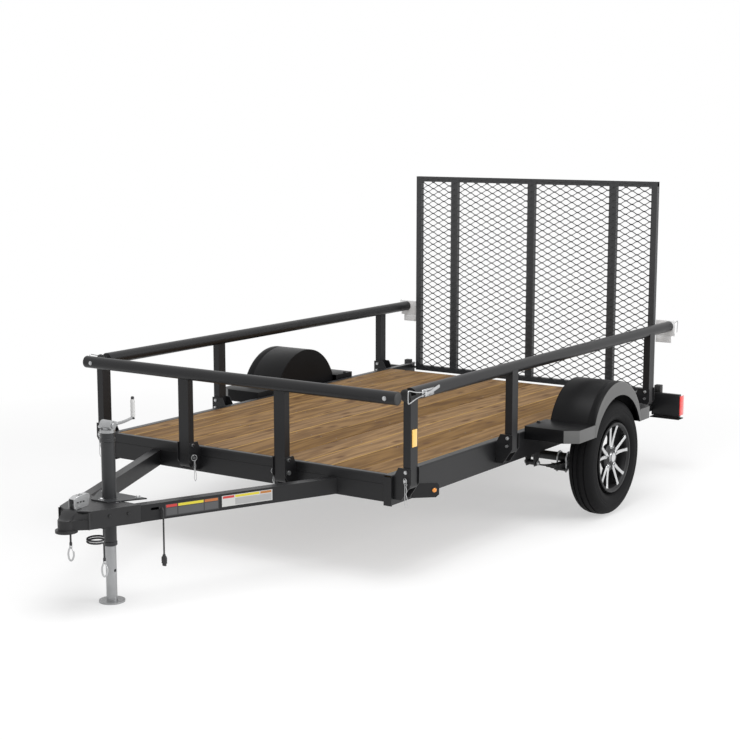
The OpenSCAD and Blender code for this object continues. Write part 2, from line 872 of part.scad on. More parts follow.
module tail_lights() {
    y0 = bed_rear - 93;
    reach = half_w + 184;
    low = deck_h - 166;
    both_sides() {
        color("#1d1d1e") {
            block([half_w, y0, low], [reach, y0 + 28, deck_h - 24]);
            // slotted shelf under the lamp and small stop above it
            block([half_w, y0 - 4, low - 6], [reach + 8, y0 + 50, low]);
            block([half_w, y0 + 31, deck_h - 33], [half_w + 42, y0 + 70, deck_h + 18]);
        }
        color("#9d1c1a") block([half_w + 8, y0 + 28, low + 7], [reach, y0 + 62, deck_h - 40]);
    }
}

// Slanting plate behind each front corner, with an amber marker lamp on it
module marker_lights() {
    y0 = bed_front + 177;
    turn = 43.5;
    length = 132;
    t = 4;
    far = [half_w + length * cos(turn), y0 + length * sin(turn)];
    both_sides() {
        color("#38393b") translate([0, 0, side_bottom]) linear_extrude(72)
            polygon([[half_w, y0], far, [far.x - t * sin(turn), far.y + t * cos(turn)],
                     [half_w, y0 + t / cos(turn)]]);
        color("#e08a2c") translate([far.x, far.y, side_bottom + 36]) rotate([0, 0, turn])
            translate([-24, -lamp_gap, 0]) rotate([90, 0, 0]) cylinder(r = 11, h = 9);
    }
}

// Cords

function unit(v) = v / norm(v);
// Points of a smooth curve through the given points, k to a span
function spline_point(a, b, c, d, t) =
    0.5 * (2 * b + (c - a) * t + (2 * a - 5 * b + 4 * c - d) * t * t
           + (3 * b - a - 3 * c + d) * t * t * t);
function smooth(p, k) = let (n = len(p) - 1) concat(
    [for (i = [0 : n - 1], j = [0 : k - 1])
        spline_point(p[max(i - 1, 0)], p[i], p[i + 1], p[min(i + 2, n)], j / k)], [p[n]]);

module cord(p, r, sides) {
    n = len(p) - 1;
    ref = unit([1, 2, 3]);
    rings = [for (i = [0 : n]) let (
        t = unit(p[min(i + 1, n)] - p[max(i - 1, 0)]),
        u = unit(cross(t, ref)),
        v = cross(t, u)) [for (a = [0 : sides - 1])
            p[i] + r * (cos(360 * a / sides) * u + sin(360 * a / sides) * v)]];
    polyhedron(
        points = [for (ring = rings) each ring],
        faces = concat(
            [[for (a = [0 : sides - 1]) a]],
            [for (i = [0 : n - 1], a = [0 : sides - 1]) let (b = (a + 1) % sides)
                [i * sides + a, (i + 1) * sides + a, (i + 1) * sides + b, i * sides + b]],
            [[for (a = [sides - 1 : -1 : 0]) n * sides + a]]));
}

cable_r = 4.5;
cable_x = 104;
cable_y = nose_y + 180;
lug_z = arm_bottom - 6;
coil_top = arm_bottom - 44;
coil_low = arm_bottom - 74;
cable_left_end = arm_bottom - 144;
cable_right_end = arm_bottom - 105;
coil_off = [-31, -21];
lead_y = nose_y + 422;
lead_z = deck_h - 76;
lead_r = 4;
lead_from = [arm_x(lead_y), lead_y, lead_z];
slot_l = 54;
slot_half = 6;
grommet_half = 7;
lead_route = [for (step = [
    [0, 0, 0], [2, -0.9, 0], [4, -1.75, 0], [9, -3.9, -1], [14, -6.1, -5], [17, -7.4, -10], [18, -7.9, -16],
    [18, -7.9, -40], [18, -7.9, -80], [18, -7.9, -130], [18, -7.9, -180], [18, -7.9, -213]])
    lead_from + step];

module hanging(z0, z1) {
    route = [for (k = [0 : 3]) [cable_x, cable_y, z0 + k * (z1 - z0) / 3]];
    color("#151515") cord(smooth(route, 2), cable_r, 8);
}

module cable_left() {
    hanging(lug_z, coil_top);
    hanging(coil_low, cable_left_end);
}

module coil_left() {
    h = coil_top - coil_low;
    color("#151515") translate([cable_x + coil_off.x, cable_y + coil_off.y, coil_low + h / 2])
        rotate_extrude() translate([norm(coil_off), 0]) rounded_2d(2 * cable_r, h, 4);
}

module cable_right() {
    mirror([1, 0, 0]) hanging(lug_z, cable_right_end);
}

// Sleeve and snap hook on a cable's end
module hook(z) {
    color("#c9cacc") translate([cable_x, cable_y, z]) {
        translate([0, 0, -24]) cylinder(r = 7, h = 24);
        translate([0, 0, -44]) rotate([0, 90, 0]) rotate_extrude() translate([18, 0]) circle(r = 4);
    }
}

module hook_left() {
    hook(cable_left_end);
}

module hook_right() {
    mirror([1, 0, 0]) hook(cable_right_end);
}

// Rubber grommet that fills the rear end of the arm's slot
module lead_grommet() {
    color("#151515") translate(lead_from) rotate([0, 0, -arm_angle])
        block([-9, -grommet_half, -slot_half], [0, grommet_half, slot_half]);
}

module lead() {
    color("#151515") cord(smooth(lead_route, 2), lead_r, 8);
}

module plug() {
    end = lead_route[len(lead_route) - 1];
    color("#1a1a1b") translate(end) {
        translate([-14, -7, -42]) cube([28, 14, 42]);
        translate([-10, -5, -54]) cube([20, 10, 12]);
    }
}

frame_side_left();
frame_side_right();
frame_front();
frame_rear();
crossmembers();
deck_boards();
tail_apron();
tongue_left();
tongue_right();
coupler();
coupler_latch();
jack_tube();
jack_head();
jack_crank();
jack_leg();
axle();
springs();
hub_left();
hub_right();
rim_left();
rim_right();
tyre_left();
tyre_right();
fender_left();
fender_right();
post_brackets();
rail_pins();
front_rail();
rail_left();
rail_right();
latches_left();
latches_right();
gate_frame();
gate_mesh();
tail_lights();
marker_lights();
cable_left();
coil_left();
hook_left();
cable_right();
hook_right();
lead_grommet();
lead();
plug();
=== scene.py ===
import math

import bmesh
import bpy
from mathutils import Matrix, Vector


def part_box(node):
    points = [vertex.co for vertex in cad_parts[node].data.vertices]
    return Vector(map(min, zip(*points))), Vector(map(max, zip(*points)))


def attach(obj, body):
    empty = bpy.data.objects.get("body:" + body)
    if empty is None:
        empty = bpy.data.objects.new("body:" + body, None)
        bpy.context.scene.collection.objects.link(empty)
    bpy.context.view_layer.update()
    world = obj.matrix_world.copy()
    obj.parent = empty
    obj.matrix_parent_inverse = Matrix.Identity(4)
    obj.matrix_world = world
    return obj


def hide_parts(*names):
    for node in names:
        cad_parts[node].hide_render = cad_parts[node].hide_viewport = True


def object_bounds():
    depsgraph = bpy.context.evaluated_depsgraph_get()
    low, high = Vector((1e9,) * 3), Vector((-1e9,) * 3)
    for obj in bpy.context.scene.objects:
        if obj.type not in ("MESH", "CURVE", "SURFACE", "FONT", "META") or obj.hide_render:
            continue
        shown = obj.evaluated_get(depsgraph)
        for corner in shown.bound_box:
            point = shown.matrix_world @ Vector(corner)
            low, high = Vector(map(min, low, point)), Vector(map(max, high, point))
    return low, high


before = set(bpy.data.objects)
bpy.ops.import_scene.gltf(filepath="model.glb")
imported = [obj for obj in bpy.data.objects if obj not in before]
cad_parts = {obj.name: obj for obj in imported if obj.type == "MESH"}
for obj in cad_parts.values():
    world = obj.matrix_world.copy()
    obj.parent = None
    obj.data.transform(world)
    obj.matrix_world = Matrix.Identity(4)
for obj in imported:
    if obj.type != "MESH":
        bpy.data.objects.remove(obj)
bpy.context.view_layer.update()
scene = bpy.context.scene

# The view: a long lens from ahead of the coupler and to the left of travel, a little above the
# rails. It looks slightly down, so the whole deck shows inside the rails.
heading, dip = math.radians(34.43), math.radians(9.11)
look = Vector((-math.sin(heading) * math.cos(dip), math.cos(heading) * math.cos(dip), -math.sin(dip)))
camera = bpy.data.objects.new("camera", bpy.data.cameras.new("camera"))
scene.collection.objects.link(camera)
camera.data.lens = 75.2
camera.location = (4.847, -6.809, 2.173)
camera.rotation_mode = "QUATERNION"
camera.rotation_quaternion = look.to_track_quat("-Z", "Y")
scene.camera = camera
scene.view_settings.view_transform = "Standard"

# Safety cables: plastic-coated wire rope, 9 mm thick, clamped in a lug under each tongue arm.
# The left one is wound in two turns, and each ends in a sleeve, an eye and a plated snap hook.

CABLE_D = 0.009
COIL_DEPTH = 0.030                         # height of the coil
COIL_BEND = 0.020                          # radius where the cable turns into and out of the coil
HOOK_REACH = 0.018                         # how far a hook hangs below the plain ring of the CAD


def recipe(tree):
    """Two makers of nodes: add sets a node's own lower-case settings and its capitalised inputs,
    each a value or a socket to join; maths does a sum on values or sockets."""
    def fill(socket, value):
        if isinstance(value, bpy.types.NodeSocket):
            tree.links.new(value, socket)
        else:
            socket.default_value = value

    def add(kind, **settings):
        made = tree.nodes.new("ShaderNode" + kind)
        for key, value in settings.items():
            if key.islower():
                setattr(made, key, value)
            else:
                fill(made.inputs[key.replace("_", " ")], value)
        return made

    def maths(operation, *values):
        made = add("Math", operation=operation)
        for socket, value in zip(made.inputs, values):
            fill(socket, value)
        return made.outputs[0]

    return add, maths


def new_material(name, **inputs):
    """A material with node makers for it, its skin and the object's own coordinates."""
    material = bpy.data.materials.new(name)
    material.use_nodes = True
    skin = material.node_tree.nodes["Principled BSDF"]
    for key, value in inputs.items():
        skin.inputs[key.replace("_", " ")].default_value = value
    add, maths = recipe(material.node_tree)
    return material, skin, add, maths, add("TexCoord").outputs["Object"]


def join_skin(material, skin, **sockets):
    """Join these sockets to the inputs of the material's skin."""
    for key, socket in sockets.items():
        material.node_tree.links.new(socket, skin.inputs[key.replace("_", " ")])


def surface(name, colour, roughness, metallic=0.0, mottle=0.12, scale=7.0, grit=260.0, bump=0.08,
            soft_edge=0.0015, coat=0.0, gloss=0.5):
    """A node material: tone and roughness drift over the surface, with grit and rounded edges."""
    material, skin, add, _, place = new_material(name, Metallic=metallic, Coat_Weight=coat,
                                                 Specular_IOR_Level=gloss)
    drift = add("TexNoise", Scale=scale, Detail=7.0, Roughness=0.62, Vector=place).outputs["Fac"]
    tone = add("Mix", data_type="RGBA", Factor=drift, A=(*[c * (1 - mottle) for c in colour], 1),
               B=(*[min(c * (1 + mottle), 1) for c in colour], 1))
    shine = add("MapRange", To_Min=roughness * 0.85, To_Max=min(roughness * 1.15, 1), Value=drift)
    fine = add("TexNoise", Scale=grit, Detail=3.0, Vector=place)
    rounded = {}
    if soft_edge:
        rounded["Normal"] = add("Bevel", samples=4, Radius=soft_edge).outputs["Normal"]
    relief = add("Bump", Strength=bump, Distance=0.001, Height=fine.outputs["Fac"], **rounded)
    join_skin(material, skin, Base_Color=tone.outputs["Result"], Roughness=shine.outputs["Result"],
              Normal=relief.outputs["Normal"])
    return material


def keep_part(node, material):
    """A CAD part keeps its shape and takes this finish."""
    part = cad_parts[node]
    for slot in part.material_slots:
        slot.material = material


def wire(name, points, diameter, material, body, closed=False):
    """A bent round wire, rod or tube through the points, as a curve with a round section."""
    curve = bpy.data.curves.new(name, "CURVE")
    curve.dimensions = "3D"
    curve.bevel_depth = diameter / 2
    curve.bevel_resolution = 5
    curve.use_fill_caps = True
    spline = curve.splines.new("POLY")
    spline.points.add(len(points) - 1)
    for knot, point in zip(spline.points, points):
        knot.co = (*point, 1)
    spline.use_cyclic_u = closed
    spline.use_smooth = True
    curve.materials.append(material)
    piece = bpy.data.objects.new(name, curve)
    scene.collection.objects.link(piece)
    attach(piece, body)
    return piece


def smooth_path(points, steps):
    """Points of a smooth curve through the given ones, with this many steps to a span."""
    path = []
    for i in range(len(points) - 1):
        a, b = points[max(i - 1, 0)], points[i]
        c, d = points[i + 1], points[min(i + 2, len(points) - 1)]
        for k in range(steps):
            t = k / steps
            path.append(0.5 * (2 * b + (c - a) * t + (2 * a - 5 * b + 4 * c - d) * t * t
                               + (3 * b - a - 3 * c + d) * t * t * t))
    return path + [points[-1]]


def circle(count):
    """(cosine, sine) pairs at even steps round a full turn."""
    return [(math.cos(math.tau * k / count), math.sin(math.tau * k / count)) for k in range(count)]


def skin_over(rows, count, first=0, joined=False):
    """Faces round a run of rows, each of count points, starting at the vertex first. A joined run
    closes on itself like a ring; any other gets a flat face at each end."""
    faces = []
    for row in range(rows if joined else rows - 1):
        here, there = first + row * count, first + (row + 1) % rows * count
        faces += [(here + k, here + (k + 1) % count, there + (k + 1) % count, there + k)
                  for k in range(count)]
    if not joined:
        last = first + (rows - 1) * count
        faces += [tuple(range(first, first + count)), tuple(range(last, last + count))]
    return faces


def turned(name, profile, at, axis, material, body, segments=32, ring=False):
    """A turned piece: (radius, distance along the axis) pairs spun round an axis through at.
    A ring's last pair joins its first; any other piece is closed with flat ends."""
    along = "XYZ".index(axis)
    verts = []
    for radius, height in profile:
        for c, s in circle(segments):
            vert = Vector()
            vert[along], vert[(along + 1) % 3], vert[(along + 2) % 3] = height, radius * c, radius * s
            verts.append(vert + Vector(at))
    faces = skin_over(len(profile), segments, joined=ring)
    return piece_from(name, verts, faces, material, body, smooth=True)


def piece_from(name, verts, faces, material, body, smooth=False, rounding=0.0):
    """A new piece from vertices and faces, closed up, with rounded edges where asked."""
    mesh = bpy.data.meshes.new(name)
    mesh.from_pydata(verts, [], faces)
    tidy = bmesh.new()
    tidy.from_mesh(mesh)
    bmesh.ops.remove_doubles(tidy, verts=tidy.verts, dist=1e-6)
    bmesh.ops.recalc_face_normals(tidy, faces=tidy.faces)
    if rounding:
        sharp = [e for e in tidy.edges if e.is_manifold and e.calc_face_angle() > math.radians(28)]
        bmesh.ops.bevel(tidy, geom=sharp, offset=rounding, segments=2, affect="EDGES", profile=0.5)
    tidy.to_mesh(mesh)
    tidy.free()
    mesh.materials.append(material)
    if smooth:
        mesh.shade_smooth()
        mesh.set_sharp_from_angle(angle=math.radians(35))
    piece = bpy.data.objects.new(name, mesh)
    scene.collection.objects.link(piece)
    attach(piece, body)
    return piece


cable_sheath = surface("cable_sheath", (0.022, 0.022, 0.024), 0.38, mottle=0.2, scale=40, bump=0.15)
zinc = surface("zinc_plate", (0.50, 0.505, 0.51), 0.30, metallic=0.9, mottle=0.14, scale=30, grit=400,
               bump=0.05, soft_edge=0.0008)


def snap_hook(name, low, top):
    """Sleeve, wire eye and snap hook hung below a cable's end, down to the given low point."""
    sleeve_l, eye_r, overlap = 0.013, 0.0075, 0.002
    profile = [(0.0045, 0.004), (0.0062, 0.002), (0.0066, -0.002), (0.0066, 0.003 - sleeve_l),
               (0.0058, -sleeve_l), (0, -sleeve_l)]
    sleeve = turned(f"{name}_sleeve", profile, top, "Z", cable_sheath, "trailer", 16)
    eye_at = top + Vector((0, 0, overlap - sleeve_l - eye_r))
    eye = wire(f"{name}_eye", [eye_at + eye_r * Vector((c, 0, s)) for c, s in circle(16)],
               0.004, zinc, "trailer", closed=True)
    # the hook's body: a shank from the eye that turns up into an open beak, closed by a spring gate
    upper = eye_at.z - overlap
    height = upper - low.z + HOOK_REACH
    across = Vector((0.80, 0.60, 0))
    half = 0.012
    shape = [(-0.15, 0.02), (-0.55, -0.10), (-0.95, -0.34), (-1.0, -0.62), (-0.72, -0.88), (-0.10, -1.0),
             (0.58, -0.90), (0.98, -0.66), (1.0, -0.44), (0.86, -0.34)]
    centre = Vector((low.x, low.y, upper))
    outline = smooth_path([centre + across * half * u + Vector((0, 0, height * v)) for u, v in shape], 3)
    body = wire(f"{name}_body", outline, 0.0085, zinc, "trailer")
    gate = wire(f"{name}_gate", [outline[0], outline[0].lerp(outline[-1], 0.5) + Vector((0, 0, 0.003)),
                                 outline[-1]], 0.0045, zinc, "trailer")
    return [sleeve, eye, body, gate]


def safety_cable(side, wound):
    """One cable from its lug down to its hook, with or without the two turns."""
    lo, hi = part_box(f"cable_{side}")
    middle = (Vector(lo) + Vector(hi)) / 2
    start, end = Vector((middle.x, middle.y, hi[2])), Vector((middle.x, middle.y, lo[2]))
    path = [start]
    if wound:
        ring_lo, ring_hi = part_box("coil_left")
        centre = (Vector(ring_lo) + Vector(ring_hi)) / 2
        arm = Vector((start.x - centre.x, start.y - centre.y, 0))
        radius, angle = arm.length, math.atan2(arm.y, arm.x)
        # rows of (arc run round the coil, height): bend in, two turns down, bend out
        top, low = ring_hi[2] + 0.5 * COIL_DEPTH, ring_lo[2] - 0.5 * COIL_DEPTH
        round_in = [(COIL_BEND * (1 - math.cos(q)), top - COIL_BEND * math.sin(q))
                    for q in [math.pi / 2 * k / 6 for k in range(7)]]
        full = 2 * math.tau * radius
        turns = 32
        fall = (top - low - 2 * COIL_BEND) / turns
        middle_run = [(COIL_BEND + (full - 2 * COIL_BEND) * k / turns, top - COIL_BEND - fall * k)
                      for k in range(1, turns)]
        round_out = [(full - run, top + low - height) for run, height in reversed(round_in)]
        for run, height in round_in + middle_run + round_out:
            turn = angle + run / radius
            path.append(Vector((centre.x + radius * math.cos(turn),
                                centre.y + radius * math.sin(turn), height)))
    else:
        spans = 14
        path += [start.lerp(end, k / spans) for k in range(1, spans)]
    path.append(end)
    cable = wire(f"safety_cable_{side}", path, CABLE_D, cable_sheath, "trailer")
    hook_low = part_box(f"hook_{side}")[0][2]
    hook = snap_hook(f"safety_hook_{side}", Vector((end.x, end.y, hook_low)), end)
    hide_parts(f"cable_{side}", *(["coil_left"] if wound else []))
    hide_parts(f"hook_{side}")


safety_cable("left", wound=True)
safety_cable("right", wound=False)

# Wiring lead: four conductors in a black rubber jacket. It comes through a grommet in the left
# arm's slot, drops straight down and ends in the moulded flat plug for the towing vehicle.

LEAD_D = 0.008
lead_rubber = surface("lead_rubber", (0.020, 0.020, 0.021), 0.55, mottle=0.18, scale=60, bump=0.2)
lead_from = Vector((0.2252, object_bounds()[0][1] + 0.422, 0.453))
lead_route = [lead_from + Vector(step) for step in [
    (0, 0, 0), (0.002, -0.0009, 0), (0.004, -0.00175, 0), (0.009, -0.0039, -0.001), (0.014, -0.0061, -0.005),
    (0.017, -0.0074, -0.010), (0.018, -0.0079, -0.016), (0.018, -0.0079, -0.040), (0.018, -0.0079, -0.080),
    (0.018, -0.0079, -0.130), (0.018, -0.0079, -0.180), (0.018, -0.0079, -0.213)]]
lead_path = smooth_path(lead_route, 2)
lead = wire("wiring_lead", lead_path, LEAD_D, lead_rubber, "trailer")
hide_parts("lead")
keep_part("lead_grommet", lead_rubber)


def flat_plug():
    """The plug's boot, ribbed grip and flat nose with its bright contact."""
    at = lead_route[-1]
    # (distance down, half width, half thickness)
    rows = [(0.000, 0.0055, 0.0045), (0.006, 0.0075, 0.0052), (0.012, 0.0125, 0.0062),
            (0.018, 0.0138, 0.0068), (0.030, 0.0138, 0.0068), (0.034, 0.0128, 0.0062),
            (0.038, 0.0138, 0.0068), (0.042, 0.0138, 0.0068), (0.0425, 0.0100, 0.0050),
            (0.053, 0.0100, 0.0050), (0.054, 0.0092, 0.0044)]
    points = 20
    square = 0.45                               # between a round and a square section
    verts = [at + Vector((wide * math.copysign(abs(c) ** square, c),
                          thick * math.copysign(abs(s) ** square, s), -drop))
             for drop, wide, thick in rows for c, s in circle(points)]
    faces = skin_over(len(rows), points)
    body = piece_from("flat_plug", verts, faces, lead_rubber, "trailer", smooth=True)
    pin, pitch, nose_end = [(0.0011, 0), (0.0011, -0.0008), (0.0006, -0.0012), (0, -0.0012)], 0.004, -0.0528
    pins = [turned(f"plug_pin_{k}", pin, at + Vector((pitch * (k - 1.5), 0, nose_end)), "Z", zinc,
                   "trailer", 10) for k in range(4)]
    return [body] + pins


plug = flat_plug()
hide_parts("plug")

# Bed frame: folded 4 mm steel channels along both sides and across the front, with a square
# tube at the rear and channels between, all welded and powder-coated black.

black_coat = surface("frame_paint", (0.011, 0.011, 0.012), 0.36, mottle=0.16, scale=5, bump=0.07,
                     soft_edge=0.002, gloss=0.3)
for node in ("frame_side_left", "frame_side_right", "frame_front", "frame_rear", "crossmembers",
             "tail_apron"):
    keep_part(node, black_coat)
side_lo, side_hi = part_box("frame_side_left")
deck_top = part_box("deck_boards")[1][2]
half_width = side_hi[0]

# Deck: pressure-treated pine planks 38 mm thick laid along the bed, eased along their long edges
# and driven down with a pair of screws at every crossmember.

PLANK, PLANK_GAP = 0.158, 0.004
deck_lo, deck_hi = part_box("deck_boards")


def wood():
    """Sawn pine: every plank its own tone, long wavy grain, darker late wood and small knots."""
    material, skin, add, maths, place = new_material("deck_wood", Specular_IOR_Level=0.10)
    x, y, z = add("SeparateXYZ", Vector=place).outputs
    # which plank, and a random number and shift for it
    across = maths("DIVIDE", maths("SUBTRACT", deck_hi[0] + PLANK_GAP / 2, x), PLANK + PLANK_GAP)
    dice = add("TexWhiteNoise", noise_dimensions="1D", W=maths("FLOOR", across)).outputs["Value"]
    shift = maths("MULTIPLY", dice, 37.0)
    # grain: noise stretched along the plank, in rings that wander across it
    lane = add("CombineXYZ", X=x, Y=maths("ADD", maths("MULTIPLY", y, 0.085), shift), Z=z).outputs[0]
    sway = add("TexNoise", Scale=6.0, Detail=3.0, Roughness=0.5, Vector=lane).outputs["Fac"]
    rings = maths("SINE", maths("ADD", maths("MULTIPLY", x, 75.0), maths("MULTIPLY", sway, 46.0)))
    fibre = add("TexNoise", Scale=95.0, Detail=5.0, Roughness=0.65, Vector=lane).outputs["Fac"]
    blotch = add("TexNoise", Scale=2.6, Detail=2.0, Vector=lane).outputs["Fac"]
    # knots: scattered cells, drawn out along the plank
    spot = add("CombineXYZ", X=maths("MULTIPLY", x, 7.0), Y=maths("ADD", maths("MULTIPLY", y, 2.6), shift))
    cell = add("TexVoronoi", voronoi_dimensions="2D", Scale=1.0, Randomness=1.0, Vector=spot.outputs[0])
    knot = add("MapRange", From_Min=0.05, From_Max=0.15, To_Min=1.0, To_Max=0.0,
               Value=cell.outputs["Distance"]).outputs["Result"]
    wave = maths("ADD", maths("MULTIPLY", rings, 0.10),
                 maths("ADD", maths("MULTIPLY", fibre, 0.55), maths("MULTIPLY", blotch, 0.35)))
    ramp = add("ValToRGB", Fac=wave)
    stops = ramp.color_ramp.elements
    stops[0].position, stops[0].color = 0.20, (0.085, 0.040, 0.012, 1)
    stops[1].position, stops[1].color = 0.76, (0.300, 0.176, 0.064, 1)
    stops.new(0.45).color = (0.190, 0.104, 0.035, 1)
    tint = add("HueSaturation", Color=ramp.outputs["Color"],
               Value=maths("ADD", 0.82, maths("MULTIPLY", dice, 0.36)),
               Saturation=maths("ADD", 1.04, maths("MULTIPLY", dice, -0.16)))
    dark = add("Mix", data_type="RGBA", A=tint.outputs["Color"], B=(0.085, 0.040, 0.016, 1),
               Factor=maths("MULTIPLY", knot, 0.85))
    # the eased edges are made paler, by a random share on each plank
    side_of = maths("ABSOLUTE", maths("SUBTRACT", maths("FRACT", across), 0.5))
    edge = maths("GREATER_THAN", side_of, 0.5 - (PLANK_GAP / 2 + 0.0034) / (PLANK + PLANK_GAP))
    pale = add("Mix", data_type="RGBA", A=dark.outputs["Result"], B=(0.50, 0.32, 0.11, 1),
               Factor=maths("MULTIPLY", edge, maths("MULTIPLY", dice, 0.75)))
    relief = add("Bump", Strength=0.35, Distance=0.0012, Height=wave)
    join_skin(material, skin, Base_Color=pale.outputs["Result"], Normal=relief.outputs["Normal"],
              Roughness=maths("ADD", 0.52, maths("MULTIPLY", fibre, 0.22)))
    return material


pine = wood()


def plank_edges():
    """(left, right) edges of every plank; the last is cut to the width that is left."""
    edges, right, sliver = [], deck_hi[0], 0.05
    while right - deck_lo[0] > sliver:
        left = max(right - PLANK, deck_lo[0])
        if left - deck_lo[0] < sliver:
            left = deck_lo[0]
        edges.append((left, right))
        right = left - PLANK_GAP
    return edges


def planks():
    """Every plank as a long box with eased top edges."""
    ease, corner = 0.003, 0.0009
    verts, faces = [], []
    for left, right in plank_edges():
        section = [(left, deck_lo[2]), (right, deck_lo[2]), (right, deck_top - ease),
                   (right - corner, deck_top - corner), (right - ease, deck_top),
                   (left + ease, deck_top), (left + corner, deck_top - corner), (left, deck_top - ease)]
        faces += skin_over(2, len(section), first=len(verts))
        verts += [(x, y, z) for y in (deck_lo[1], deck_hi[1]) for x, z in section]
    return piece_from("deck_planks", verts, faces, pine, "trailer")


deck = planks()
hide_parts("deck_boards")

screw_steel = surface("deck_screw", (0.16, 0.15, 0.14), 0.45, metallic=0.8, scale=50, soft_edge=0.0004)


def deck_screws():
    """Flat screw heads, two to a plank over each crossmember, a hair above the wood."""
    cross_lo, cross_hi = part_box("crossmembers")
    rows, flange, inset = 5, 0.038, 0.03
    step = (cross_hi[1] - flange - cross_lo[1]) / (rows - 1)
    verts, faces, sides = [], [], 10
    for row in range(rows):
        y = cross_lo[1] + flange / 2 + row * step
        for left, right in plank_edges():
            for x in (right - inset, left + inset):
                faces += skin_over(2, sides, first=len(verts))
                verts += [(x + radius * c, y + radius * s, z)
                          for radius, z in ((0.0048, deck_top - 0.002), (0.00384, deck_top + 0.0004))
                          for c, s in circle(sides)]
    return piece_from("deck_screws", verts, faces, screw_steel, "trailer")


deck_screws()

# Tongue: two rectangular tubes that meet at the coupler, bolted under its cover. The left one
# carries two blank label plates on its outer face; the wiring comes out of its slot.

for node in ("tongue_left", "tongue_right"):
    keep_part(node, black_coat)
cross_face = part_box("frame_front")[0][1]        # front of the bed, where the arms end
nose_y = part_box("coupler")[0][1] - 0.005        # datum 5 mm ahead of the coupler's lip
apex = nose_y - 0.093                           # where the arms' outer faces would meet
arm_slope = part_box("tongue_left")[1][0] / (cross_face - apex)
arm_angle = math.atan(arm_slope)
arm_z = (deck_top - 0.130, deck_top - 0.052)


def arm_point(y, out, z):
    """A point on the left arm's outer face at this y, moved outward by out."""
    return Vector((arm_slope * (y - apex) + out * math.cos(arm_angle), y - out * math.sin(arm_angle), z))


def label(name, y0, y1, z0, z1, bands):
    """A blank printed plate: a row of plain colours along the top over a plain body."""
    thick = 0.0004
    for k, (start, end, low, high, colour) in enumerate(bands):
        out = 0.0005 + 0.0001 * k
        ya, yb = y0 + (y1 - y0) * start, y0 + (y1 - y0) * end
        za, zb = z0 + (z1 - z0) * low, z0 + (z1 - z0) * high
        verts = [arm_point(y, depth, z) for depth in (out, out - thick)
                 for y, z in ((ya, za), (yb, za), (yb, zb), (ya, zb))]
        ink = surface(f"{name}_ink_{k}", colour, 0.42, scale=25, mottle=0.05, soft_edge=0)
        piece_from(f"{name}_{k}", verts, skin_over(2, 4), ink, "trailer")


label("label_front", nose_y + 0.442, nose_y + 0.690, arm_z[0] + 0.010, arm_z[1] - 0.012,
      [(0, 1, 0, 1, (0.030, 0.030, 0.032)), (0.02, 0.22, 0.74, 0.96, (0.50, 0.035, 0.030)),
       (0.24, 0.71, 0.74, 0.96, (0.62, 0.52, 0.03)), (0.73, 0.98, 0.74, 0.96, (0.42, 0.13, 0.03)),
       (0.02, 0.22, 0.08, 0.68, (0.075, 0.075, 0.078)), (0.24, 0.71, 0.08, 0.68, (0.075, 0.075, 0.078)),
       (0.73, 0.98, 0.08, 0.68, (0.075, 0.075, 0.078))])
label("label_rear", nose_y + 0.704, nose_y + 0.946, arm_z[0] + 0.016, arm_z[1] - 0.010,
      [(0, 1, 0, 1, (0.52, 0.52, 0.51)), (0.02, 0.24, 0.74, 0.95, (0.50, 0.040, 0.035)),
       (0.26, 0.74, 0.74, 0.95, (0.62, 0.52, 0.03)), (0.76, 0.98, 0.74, 0.95, (0.42, 0.16, 0.03)),
       (0.26, 0.98, 0.08, 0.66, (0.36, 0.36, 0.36))])

# Coupler: a pressed steel ball coupler, painted black, with a plated lever latch on top, bolted
# through the arms from the sides.

cast_black = surface("coupler_paint", (0.018, 0.018, 0.019), 0.42, mottle=0.2, scale=14, bump=0.22,
                     soft_edge=0.004, gloss=0.35)
keep_part("coupler", cast_black)


def hex_bolts(name, places, size, material, body, washer=True, length=0.0):
    """Hex heads on washers at (point, outward direction) pairs; size is across the corners."""
    seat, high = size * 0.09 if washer else 0.0, size * 0.34
    # (sides, ((radius, height), ...)) of the head, the washer and the bolt's own end
    stack = [(6, ((size / 2, seat), (size / 2, seat + high * 0.8), (size * 0.41, seat + high)))]
    if washer:
        stack.append((20, ((size * 0.68, 0), (size * 0.68, seat))))
    if length:
        stack.append((12, ((size * 0.25, seat + high * 0.9), (size * 0.25, seat + high + length))))
    verts, faces = [], []
    for point, out in places:
        point, out = Vector(point), Vector(out).normalized()
        across = out.orthogonal().normalized()
        other = out.cross(across)
        for sides, rings in stack:
            faces += skin_over(len(rings), sides, first=len(verts))
            verts += [point + out * height + radius * (c * across + s * other)
                      for radius, height in rings for c, s in circle(sides)]
    piece_from(name, verts, faces, material, body)


def mirrored(places):
    """Places on the left side, with their mirror images on the right."""
    both = [(Vector(p), Vector(d)) for p, d in places]
    return both + [(Vector((-p.x, p.y, p.z)), Vector((-d.x, d.y, d.z))) for p, d in both]


arm_out = Vector((math.cos(arm_angle), -math.sin(arm_angle), 0))
hex_bolts("coupler_bolts", mirrored([(arm_point(nose_y + y, 0.005, arm_z[1] - 0.028), arm_out)
                                     for y in (0.194, 0.277)]), 0.015, cast_black, "trailer", washer=False)


